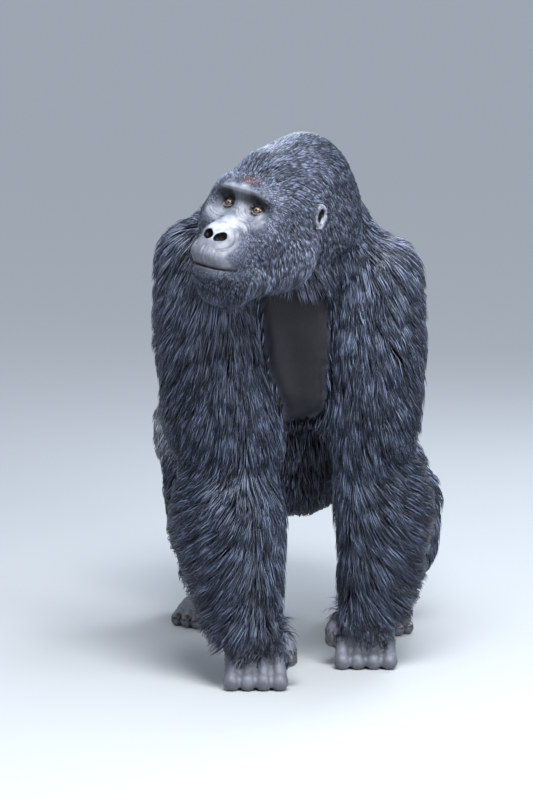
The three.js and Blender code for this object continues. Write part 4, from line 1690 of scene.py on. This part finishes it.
    def _comb(self, roots: Array, facing: Array, lie: Array, length: Array, height: Array, droop: Array,
              rings: int) -> tuple[Array, Array]:
        """Lays locks over the skin.

        Args:
            roots: where they start.
            facing: the skin's normals there.
            lie: the way they set out.
            length: their lengths, in metres.
            height: how high their tips stand, in metres.
            droop: how fast they bend downward.
            rings: how many steps to lay them in.

        Returns:
            Their points, and the way their ridges face at each.
        """
        place, way = roots, lie
        path, up = [roots - facing * self.root], [facing]
        step = (length / rings)[:, None]
        fall = np.array((0.0, 0.0, -1.0)) * (droop / rings)[:, None]
        for k in range(1, rings + 1):
            place = place + way * step
            out = self.around.out(place)
            rise = height * (1 - (1 - k / rings) ** 2) + 0.0006
            place = place + out * (rise - self.around.at(place))[:, None]
            way = flattened(way + fall, out)
            path.append(place)
            up.append(out)
        return np.stack(path, 1), np.stack(up, 1)

    def _gathered(self, path: Array, lead: Array, most: float) -> Array:
        """Draws the tips of locks together with the lock that leads their tuft.

        Args:
            path: the locks' points.
            lead: the number of each lock's leader.
            most: how far the tips are drawn, as a share.

        Returns:
            The drawn points.
        """
        rows = path.shape[1]
        share = (most * (np.arange(rows) / (rows - 1)) ** 1.3)[None, :, None]
        toward = path[lead] + (path[:, :1] - path[lead, :1]) * 0.35 - path
        reach = np.linalg.norm(toward, axis=2, keepdims=True)
        return path + toward * share * (reach < 0.05)

    def _unwrap(self, word: str, roots: Array) -> Array:
        """Each root's place on an unwrap of the skin: the angle round the part, and the way along it.

        Args:
            word: the name of the locks' part of the coat.
            roots: their roots.

        Returns:
            Places from 0 to 1.
        """
        q, right = self.skin.body.local(roots), int("right" not in word)
        if "head" in word:
            p = self.skin.head.axes.local(roots)
            angle, along = np.arctan2(p[:, 0], 70 - p[:, 1]), (p[:, 2] + 260) / 480
        elif "arm" in word:
            angle, along = np.radians(ARMS[right].around(q)), q[:, 2] / 1100
        elif "thigh" in word or "shank" in word:
            leg = LEGS[right]
            angle, along = np.arctan2(q[:, 0] - leg.sole[0], q[:, 1] - leg.ankle[1]), q[:, 2] / 900
        else:
            angle, along = np.arctan2(q[:, 0], q[:, 2] - 690), (q[:, 1] + 200) / 1150
        return np.clip(np.stack([angle / math.tau + 0.5, along], axis=1), 0.002, 0.998)


# ---- Finishes ----------------------------------------------------------------------------------------


class Graph:
    """A node tree with a short way to add and link nodes."""

    def __init__(self, tree: bpy.types.NodeTree) -> None:
        """Keeps the tree."""
        self.tree = tree

    def put(self, node: bpy.types.Node, inputs: Inputs) -> None:
        """Links a node's inputs, by name or number, to other nodes' sockets, or sets them to constants."""
        for key, value in inputs.items():
            if isinstance(value, Socket):
                self.tree.links.new(value, node.inputs[key])
            else:
                node.inputs[key].default_value = value

    def add(self, kind: str, inputs: Inputs | None = None, **settings: object) -> bpy.types.Node:
        """Adds a node.

        Args:
            kind: the node's type.
            inputs: its inputs by name or number, each a value or the socket of another node.
            settings: its other properties.

        Returns:
            The node.
        """
        node = self.tree.nodes.new(kind)
        for name, value in settings.items():
            setattr(node, name, value)
        self.put(node, inputs or {})
        return node

    def attribute(self, name: str) -> Socket:
        """A number stored on the mesh."""
        return self.add("ShaderNodeAttribute", attribute_name=name).outputs["Fac"]

    def math(self, operation: str, *values: object) -> Socket:
        """The result of a sum on numbers or sockets."""
        return self.add("ShaderNodeMath", dict(enumerate(values)), operation=operation).outputs[0]

    def times(self, first: object, second: object) -> Socket:
        """The product of two numbers or sockets."""
        return self.math("MULTIPLY", first, second)

    def between(self, value: object, low: float, high: float, first: float = 0.0, last: float = 1.0) -> Socket:
        """A value's place between low and high, from first to last."""
        inputs = {"Value": value, "From Min": low, "From Max": high, "To Min": first, "To Max": last}
        return self.add("ShaderNodeMapRange", inputs, interpolation_type="SMOOTHSTEP").outputs["Result"]

    def mix(self, share: object, first: object, second: object) -> Socket:
        """Two colours mixed."""
        return self.add("ShaderNodeMix", {"Factor": share, 6: first, 7: second}, data_type="RGBA").outputs[2]

    def noise(self, vector: object, scale: float, detail: float = 3.0, rough: float = 0.55) -> Socket:
        """A soft random value."""
        inputs = {"Vector": vector, "Scale": scale, "Detail": detail, "Roughness": rough}
        return self.add("ShaderNodeTexNoise", inputs).outputs["Fac"]


def tone(red: float, green: float, blue: float) -> tuple[float, float, float, float]:
    """A colour as its linear red, green and blue."""
    return (red, green, blue, 1.0)


def group(
    name: str, inputs: dict[str, float], outputs: dict[str, str]
) -> tuple[Graph, bpy.types.bpy_prop_collection, bpy.types.Node]:
    """Starts a shader node group.

    Args:
        name: the group's name.
        inputs: its number inputs, by name, with their defaults.
        outputs: its outputs, by name, as "Float" or "Color".

    Returns:
        The group's graph, the sockets that it is given, and its output node.
    """
    tree = bpy.data.node_groups.new(name, "ShaderNodeTree")
    for word, default in inputs.items():
        socket = tree.interface.new_socket(word, in_out="INPUT", socket_type="NodeSocketFloat")
        socket.default_value = default
    for word, kind in outputs.items():
        tree.interface.new_socket(word, in_out="OUTPUT", socket_type=f"NodeSocket{kind}")
    graph = Graph(tree)
    return graph, graph.add("NodeGroupInput").outputs, graph.add("NodeGroupOutput")


@dataclass(frozen=True)
class CoatColour:
    """The colours of the hair at root and tip, shared by the locks and by the skin under them, with painted
    shade at the roots and a painted blue-grey sheen towards the tips.
    """

    black: Colour = tone(0.0025, 0.0028, 0.0042)
    black_tip_and_sheen: Colour = tone(0.142, 0.174, 0.262)
    grizzle: Colour = tone(0.024, 0.027, 0.038)
    grizzle_tip: Colour = tone(0.345, 0.385, 0.53)
    silver: Colour = tone(0.11, 0.12, 0.14)
    silver_tip: Colour = tone(0.44, 0.46, 0.52)
    warm: Colour = tone(0.125, 0.050, 0.036)

    def tree(self) -> bpy.types.NodeTree:
        """The node group, made once: from a lock's numbers to its colour.

        Returns:
            The group.
        """
        made = bpy.data.node_groups.get("Markings")
        if made:
            return made
        inputs = {"Strand": 0.5, "Tip": 0.5, "Across": 0.0, "Silver": 0.0, "Warm": 0.0, "Grizzle": 0.0}
        g, given, result = group("Markings", inputs, {"Colour": "Color"})
        strand, tip = given["Strand"], given["Tip"]
        grain = {"X": g.times(given["Across"], 3.2), "Y": g.times(tip, 1.1), "Z": g.times(strand, 61.0)}
        hair = g.noise(g.add("ShaderNodeCombineXYZ", grain).outputs[0], 1.6, 2.0)
        # painted sheen and shade: some locks and streaks lighter, the roots darker, the tips lighter
        shine = g.times(g.between(strand, 0.28, 0.9, 0.12, 1.05), g.between(hair, 0.3, 0.7, 0.35, 1.25))
        light = g.times(g.between(tip, 0.0, 0.6, 0.12, 1.0), shine)
        plain = g.mix(light, self.black, self.black_tip_and_sheen)
        colour = g.mix(given["Grizzle"], plain, g.mix(light, self.grizzle, self.grizzle_tip))
        colour = g.mix(g.times(given["Warm"], 0.5), colour, self.warm)
        silver = g.mix(light, self.silver, self.silver_tip)
        share = g.between(g.math("ADD", given["Silver"], g.times(strand, 0.5)), 0.55, 0.95)
        g.put(result, {"Colour": g.mix(share, colour, silver)})
        return g.tree


@dataclass(frozen=True)
class FineSkin:
    """The grain of bare skin, shared by the face, the chest, the palms and the nails.

    Attributes:
        pores: how many pores there are to a metre.
    """

    pores: float = 900.0

    def tree(self) -> bpy.types.NodeTree:
        """The node group, made once: pores and fine creases as a height, and blotches as a tone.

        Returns:
            The group.
        """
        made = bpy.data.node_groups.get("FineSkin")
        if made:
            return made
        g, given, result = group("FineSkin", {"Size": 1.0}, {"Height": "Float", "Tone": "Float"})
        places = g.add("ShaderNodeTexCoord").outputs["Object"]
        size = {0: places, "Scale": given["Size"]}
        scaled = g.add("ShaderNodeVectorMath", size, operation="SCALE").outputs[0]
        cells = {"Vector": scaled, "Scale": self.pores}
        edges = g.add("ShaderNodeTexVoronoi", cells, feature="DISTANCE_TO_EDGE").outputs["Distance"]
        creases = g.between(edges, 0.0, 0.25)
        fine, broad = g.noise(scaled, self.pores), g.noise(scaled, 140.0, 4.0)
        height = g.math("ADD", g.times(creases, 0.18), g.math("ADD", g.times(fine, 0.35), g.times(broad, 0.9)))
        g.put(result, {"Height": height, "Tone": g.noise(scaled, 42.0, 5.0)})
        return g.tree


def finish(name: str) -> tuple[bpy.types.Material, Graph, bpy.types.Node]:
    """Starts a material: itself, its graph and its one Principled shader."""
    material = bpy.data.materials.new(name)
    material.use_nodes = True
    return material, Graph(material.node_tree), material.node_tree.nodes["Principled BSDF"]


@dataclass(frozen=True)
class Fur:
    """The finish of the locks.

    Attributes:
        roughness: how dull the hair is.
        gloss: how strongly it shines.
    """

    roughness: float = 0.34
    gloss: float = 0.4

    def material(self) -> bpy.types.Material:
        """The material."""
        made, g, shader = finish("fur")
        words = ("tip", "across", *MARKS)
        inputs = {word.capitalize(): g.attribute(word) for word in words}
        colour = g.add("ShaderNodeGroup", inputs, node_tree=CoatColour().tree()).outputs["Colour"]
        g.put(shader, {"Base Color": colour, "Roughness": self.roughness, "Specular IOR Level": self.gloss})
        return made


@dataclass(frozen=True)
class Hide:
    """The finish of the skin: bare black skin, and dark hair where locks cover it.

    Attributes:
        bare: the colour of bare skin.
        pale_and_highlight_tone: the colour where the skin is paler, and of its painted highlights on the brow
            and nose.
        dark_and_shade: the colour of painted shade in nostrils, ear hollows, between lips, under the brow and
            round the eyes, and of the chest's darker skin.
        wet: the colour of the lower lids' edges.
        roughness: how dull bare skin is.
    """

    bare: Colour = tone(0.028, 0.030, 0.038)
    pale_and_highlight_tone: Colour = tone(0.37, 0.385, 0.455)
    dark_and_shade: Colour = tone(0.0035, 0.003, 0.0034)
    wet: Colour = tone(0.17, 0.125, 0.12)
    roughness: float = 0.38

    def material(self) -> bpy.types.Material:
        """The material.

        Returns:
            The material, which reads the skin's stored numbers.
        """
        made, g, shader = finish("skin")
        bare, dark_and_shade = g.attribute("bare"), g.attribute("dark_and_shade")
        grain = g.add("ShaderNodeGroup", node_tree=FineSkin().tree())
        # paler blotched skin, carrying the painted highlights of the brow and nose; over it the painted shade
        # of the face's hollows and the chest's darker skin
        blotch = g.times(g.between(grain.outputs["Tone"], 0.3, 0.75, 0.55, 1.25), g.attribute("pale_and_highlight"))
        colour = g.mix(dark_and_shade, g.mix(blotch, self.bare, self.pale_and_highlight_tone), self.dark_and_shade)
        colour = g.mix(g.attribute("wet"), colour, self.wet)
        strands = g.noise(g.add("ShaderNodeTexCoord").outputs["Object"], 160.0, 6.0, 0.7)
        inputs = {"Strand": strands, "Tip": 0.3} | {word.capitalize(): g.attribute(word) for word in MARKS[1:]}
        coat = g.add("ShaderNodeGroup", inputs, node_tree=CoatColour().tree()).outputs["Colour"]
        height = g.times(grain.outputs["Height"], g.between(bare, 0.0, 1.0, 0.2, 1.0))
        bumps = g.add("ShaderNodeBump", {"Height": height, "Distance": 0.0007, "Strength": 0.8})
        g.put(shader, {
            "Base Color": g.mix(bare, coat, colour),
            "Roughness": g.between(bare, 0.0, 1.0, 0.55, self.roughness),
            "Specular IOR Level": g.between(dark_and_shade, 0.0, 1.0, 0.5, 0.1),
            "Normal": bumps.outputs["Normal"],
        })
        return made


@dataclass(frozen=True)
class EyeFinish:
    """The finish of the eyeballs. Radii are in millimetres from the gaze.

    Attributes:
        pupil: the pupil's radius.
        iris: the iris's radius.
        amber: the iris's darker and paler colours.
        rim: the colour of the iris's edge.
        white: the colours beside the iris and farther out.
    """

    pupil: float = 2.6
    iris: float = 7.2
    amber: tuple[Colour, Colour] = (tone(0.075, 0.041, 0.026), tone(0.25, 0.155, 0.10))
    rim: Colour = tone(0.014, 0.008, 0.006)
    white: tuple[Colour, Colour] = (tone(0.006, 0.004, 0.003), tone(0.020, 0.012, 0.009))

    def material(self) -> bpy.types.Material:
        """The material.

        Returns:
            The material, which reads the distance and angle from the gaze.
        """
        made, g, shader = finish("eye")
        out = g.attribute("iris")
        rays = {"X": g.times(g.attribute("around"), 9.0), "Y": g.times(out, 0.12)}
        streak = g.noise(g.add("ShaderNodeCombineXYZ", rays).outputs[0], 2.4, 3.0, 0.7)
        iris = g.mix(g.between(streak, 0.3, 0.7), *self.amber)
        iris = g.mix(g.between(out, self.iris - 2.2, self.iris - 0.6), iris, self.rim)
        white = g.mix(g.between(out, self.iris, self.iris + 2.5), *self.white)
        colour = g.mix(g.between(out, self.iris - 0.2, self.iris + 0.3), iris, white)
        colour = g.mix(g.between(out, self.pupil - 0.25, self.pupil + 0.3), tone(0.001, 0.001, 0.001), colour)
        g.put(shader, {"Base Color": colour, "Roughness": 0.3, "Specular IOR Level": 0.25})
        g.put(shader, {"Coat Weight": 0.55, "Coat Roughness": 0.03})
        return made


@dataclass(frozen=True)
class NailFinish:
    """The finish of the nails, from one colour to a paler one."""

    colour: Colour = tone(0.022, 0.020, 0.021)
    paler: Colour = tone(0.06, 0.055, 0.055)

    def material(self) -> bpy.types.Material:
        """The material."""
        made, g, shader = finish("nail")
        grain = g.add("ShaderNodeGroup", {"Size": 0.6}, node_tree=FineSkin().tree())
        g.put(shader, {"Base Color": g.mix(grain.outputs["Tone"], self.colour, self.paler), "Roughness": 0.3})
        return made


@dataclass(frozen=True)
class FloorFinish:
    """The finish of the plain pale floor."""

    colour: Colour = tone(0.37, 0.375, 0.38)

    def material(self) -> bpy.types.Material:
        """The material."""
        made, g, shader = finish("floor")
        g.put(shader, {"Base Color": self.colour, "Roughness": 0.7})
        return made


def mount(obj: bpy.types.Object, material: bpy.types.Material, slot: str, replaced: Sequence[str] = ()) -> None:
    """Gives a piece its finish and fixes it to the one body.

    Args:
        obj: the piece.
        material: its finish.
        slot: the record's slot for that finish; not used.
        replaced: the solids that it stands for.
    """
    obj.data.materials.append(material)
    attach(obj, BODY)
    if replaced:
        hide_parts(*replaced)


# ---- Eyes and nails ----------------------------------------------------------------------------------


@dataclass
class Eyes:
    """The eyeballs, with the clear front bulging over the iris.

    Attributes:
        head: the head that holds them.
        gaze: where they look, in the head's axes.
        bulge: how far the front stands out, in millimetres.
        bulge_angle: how wide the bulge is, as an angle from the gaze.
        rings: how many rows of faces an eyeball has from front to back.
        sectors: how many it has around.
    """

    head: Head
    gaze: Triple = (0.208, -0.977, 0.03)
    bulge: float = 1.1
    bulge_angle: float = 0.66
    rings: int = 40
    sectors: int = 48

    def _faces(self) -> list[tuple[int, ...]]:
        """An eyeball's faces, as rows of point numbers from the front to the back."""
        last = 1 + (self.rings - 1) * self.sectors
        faces: list[tuple[int, ...]] = []
        for j in range(self.sectors):
            n = (j + 1) % self.sectors
            faces += [(0, 1 + n, 1 + j), (last, last - self.sectors + j, last - self.sectors + n)]
            for a in range(1, last - self.sectors, self.sectors):
                b = a + self.sectors
                faces.append((a + j, a + n, b + n, b + j))
        return faces

    def build(self) -> list[bpy.types.Object]:
        """Builds both eyes.

        Returns:
            The eyes, the left one first.
        """
        angles = np.linspace(0, math.pi, self.rings + 1)
        turns = np.linspace(0, math.tau, self.sectors, endpoint=False)
        ahead = unit(np.array(self.gaze))
        side = unit(np.cross(ahead, (0, 0, 1)))
        up = np.cross(side, ahead)
        radius = self.head.eye_radius + self.bulge * ramp(angles, self.bulge_angle, 0.0) - 0.1
        inner, far = angles[1:-1], 13.0
        ring = (radius[1:-1] * np.sin(inner))[:, None]
        rows = ahead * (radius[1:-1] * np.cos(inner))[:, None, None] + side * (ring * np.cos(turns))[:, :, None]
        rows = (rows + up * (ring * np.sin(turns))[:, :, None]).reshape(-1, 3)
        points = np.concatenate([[ahead * radius[0]], rows, [-ahead * radius[-1]]])
        out = np.concatenate([[0.0], np.repeat(np.where(inner < 1.5, ring[:, 0], far), self.sectors), [far]])
        around = np.concatenate([[0.0], np.tile(np.cos(turns) + 2 * np.sin(turns), self.rings - 1), [0.0]])
        material, eyes = EyeFinish().material(), []
        for which in Side:
            placed = self.head.axes.world(points + which.place(self.head.eye))
            eye = mesh_object(f"eyeball_{which.word}", placed, self._faces())
            add_values(eye.data, "iris", out)
            add_values(eye.data, "around", around)
            mount(eye, material, "eye", [f"eye_{which.word}"])
            eyes.append(eye)
        return eyes


@dataclass(frozen=True)
class Nail:
    """A curved nail. Lengths are in millimetres.

    Attributes:
        length: its length.
        thickness: its thickness.
        sunk: how far its underside lies under the skin.
        half_turn: half its width, as an angle round the digit.
        rows: how many rows of points it has along the digit.
        columns: how many it has across.
    """

    length: float = 17.0
    thickness: float = 1.4
    sunk: float = 0.6
    half_turn: float = 0.8
    rows: int = 6
    columns: int = 9

    def _faces(self) -> list[tuple[int, ...]]:
        """The faces of its underside, its top and its border, as rows of point numbers."""
        rows, columns = self.rows, self.columns
        size = rows * columns
        faces: list[tuple[int, ...]] = []
        for i in range(rows - 1):
            for j in range(columns - 1):
                a = i * columns + j
                faces.append((a, a + columns, a + columns + 1, a + 1))
                faces.append((size + a, size + a + 1, size + a + columns + 1, size + a + columns))
        border = [(0, j) for j in range(columns)] + [(i, columns - 1) for i in range(1, rows)]
        border += [(rows - 1, j) for j in range(columns - 2, -1, -1)] + [(i, 0) for i in range(rows - 2, 0, -1)]
        numbers = [i * columns + j for i, j in border]
        return faces + [(a, b, b + size, a + size) for a, b in zip(numbers, numbers[1:] + numbers[:1])]

    def build(
        self, name: str, axes: Axes, place: Array, facing: Array, radius: float, along: Array
    ) -> bpy.types.Object:
        """Builds the nail on a digit.

        Args:
            name: the piece's name.
            axes: the hand's or foot's axes.
            place: the middle of the digit under the nail.
            facing: the way the nail faces.
            radius: the digit's radius.
            along: the way the digit points.

        Returns:
            The nail.
        """
        up = unit(facing)
        ahead = flattened(along, up)
        side = np.cross(ahead, up)
        points = []
        for lift in (-self.sunk, self.thickness - self.sunk):
            for v in np.linspace(-0.5, 0.5, self.rows):
                tip = max(v, 0.0) ** 2
                out = radius + lift - 4.4 * tip
                for u in np.linspace(-1, 1, self.columns):
                    turn = u * self.half_turn * (1 - 0.35 * tip)
                    across = side * math.sin(turn) + up * math.cos(turn)
                    points.append(place + across * out + ahead * v * self.length)
        return mesh_object(name, axes.world(np.array(points)), self._faces())


# ---- Studio ------------------------------------------------------------------------------------------


@dataclass(frozen=True)
class SoftLight:
    """A large soft lamp.

    Attributes:
        name: its name.
        place: where it hangs, in the body's metres.
        size: its width and height, in metres.
        power: its power, in watts.
        colour: its colour.
    """

    name: str
    place: Triple
    size: tuple[float, float]
    power: float
    colour: Triple

    def build(self, body: Axes, target: Array) -> None:
        """Hangs the lamp, turned to the target."""
        lamp = bpy.data.lights.new(self.name, "AREA")
        lamp.shape = "RECTANGLE"
        lamp.size, lamp.size_y = self.size
        lamp.energy = self.power
        lamp.color = self.colour
        obj = bpy.data.objects.new(self.name, lamp)
        obj.location = body.world(np.array(self.place) / MM)
        obj.rotation_euler = (Vector(target) - obj.location).to_track_quat("-Z", "Y").to_euler()
        bpy.context.scene.collection.objects.link(obj)


@dataclass(frozen=True)
class Studio:
    """The floor, the lamps, the pale room and the camera. Lengths are in metres.

    Attributes:
        target: what the camera looks at, in the body's millimetres.
        distance: how far it stands, in millimetres.
        pitch: how far it looks down, in degrees.
        lens: its focal length, in millimetres on a 36 mm high picture.
        floor_size: the floor's width.
        sky: the colour of the room's light.
        zenith: its strength overhead.
        horizon: its strength at eye level and below.
        lit: what the lamps are turned to, in the body's millimetres.
        lamps: the lamps.
    """

    target: Triple = (-52, 0, 629)
    distance: float = 7500
    pitch: float = 8.0
    lens: float = 153.4
    floor_size: float = 240.0
    sky: Colour = tone(0.78, 0.87, 1.0)
    zenith: float = 1.3
    horizon: float = 0.24
    lit: Triple = (-20, 100, 700)
    lamps: tuple[SoftLight, ...] = (
        SoftLight("overhead", (0.3, -1.9, 3.3), (1.8, 1.4), 260, (0.92, 0.96, 1.0)),
        SoftLight("front", (2.6, -4.8, 2.0), (1.6, 1.4), 210, (0.90, 0.95, 1.0)),
        SoftLight("behind", (1.8, 3.0, 3.0), (1.6, 1.4), 100, (0.80, 0.90, 1.0)),
    )

    def build(self, body: Axes) -> bpy.types.Object:
        """Sets up the studio.

        Args:
            body: the body's axes.

        Returns:
            The floor.
        """
        half = self.floor_size / 2
        corners = np.array([(-half, -half, 0), (half, -half, 0), (half, half, 0), (-half, half, 0)])
        floor = mesh_object("floor", corners, [(0, 1, 2, 3)], False)
        floor.data.materials.append(FloorFinish().material())
        world = bpy.data.worlds.new("room")
        world.use_nodes = True
        g = Graph(world.node_tree)
        around = g.add("ShaderNodeTexCoord").outputs["Generated"]
        height = g.add("ShaderNodeSeparateXYZ", {0: around}).outputs["Z"]
        strength = g.between(height, 0.0, 0.9, self.horizon, self.zenith)
        g.put(world.node_tree.nodes["Background"], {"Color": self.sky, "Strength": strength})
        bpy.context.scene.world = world
        bpy.context.scene.view_settings.view_transform = "Standard"
        for lamp in self.lamps:
            lamp.build(body, body.world(np.array(self.lit)))
        self._camera(body)
        return floor

    def _camera(self, body: Axes) -> None:
        """Places the camera, level from side to side and looking a little down."""
        pitch = math.radians(self.pitch)
        back = np.array((0.0, -math.cos(pitch), math.sin(pitch)))
        camera = bpy.data.cameras.new("camera")
        camera.sensor_fit = "VERTICAL"
        camera.sensor_height = 36.0
        camera.lens = self.lens
        camera.clip_end = 400.0
        obj = bpy.data.objects.new("camera", camera)
        obj.location = body.world(np.array(self.target) + back * self.distance)
        obj.rotation_euler = (math.pi / 2 - pitch, 0.0, 0.0)
        bpy.context.scene.collection.objects.link(obj)
        bpy.context.scene.camera = obj


# ---- The whole animal --------------------------------------------------------------------------------


def add_nails(body: Axes) -> None:
    """Builds the nails of all four hands and feet."""
    material = NailFinish().material()
    digits = [(f"fingernail_{a.side.word}", a.hand_axes(body), a.nails(), (0.0, 0.1, 1.0)) for a in ARMS]
    digits += [(f"toenail_{g.side.word}", g.foot_axes(body), g.nails(), (0.0, -1.0, -0.45)) for g in LEGS]
    for word, axes, nails, along in digits:
        for n, (place, facing, radius) in enumerate(nails):
            nail = Nail().build(f"{word}_{n + 1}", axes, place, facing, radius, np.array(along))
            mount(nail, material, "bare_skin")
        LOG.info("%s: %d nails", word, len(nails))


def main() -> None:
    """Builds the dressed model, piece by piece."""
    logging.basicConfig(level=logging.INFO, format="%(name)s %(message)s", stream=sys.stdout, force=True)
    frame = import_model()
    head = Head()
    skin = Skin(head)
    obj = skin.build(frame)
    skin.dress()
    LOG.info("skin: %d faces", len(obj.data.polygons))
    for eye in Eyes(head).build():
        LOG.info("%s", eye.name)
    add_nails(skin.body)
    fur = Fur().material()
    for piece, slot in Coat(skin).build():
        mount(piece, fur, slot)

    Studio().build(skin.body)
    bpy.context.view_layer.update()


if __name__ == "__main__":
    main()
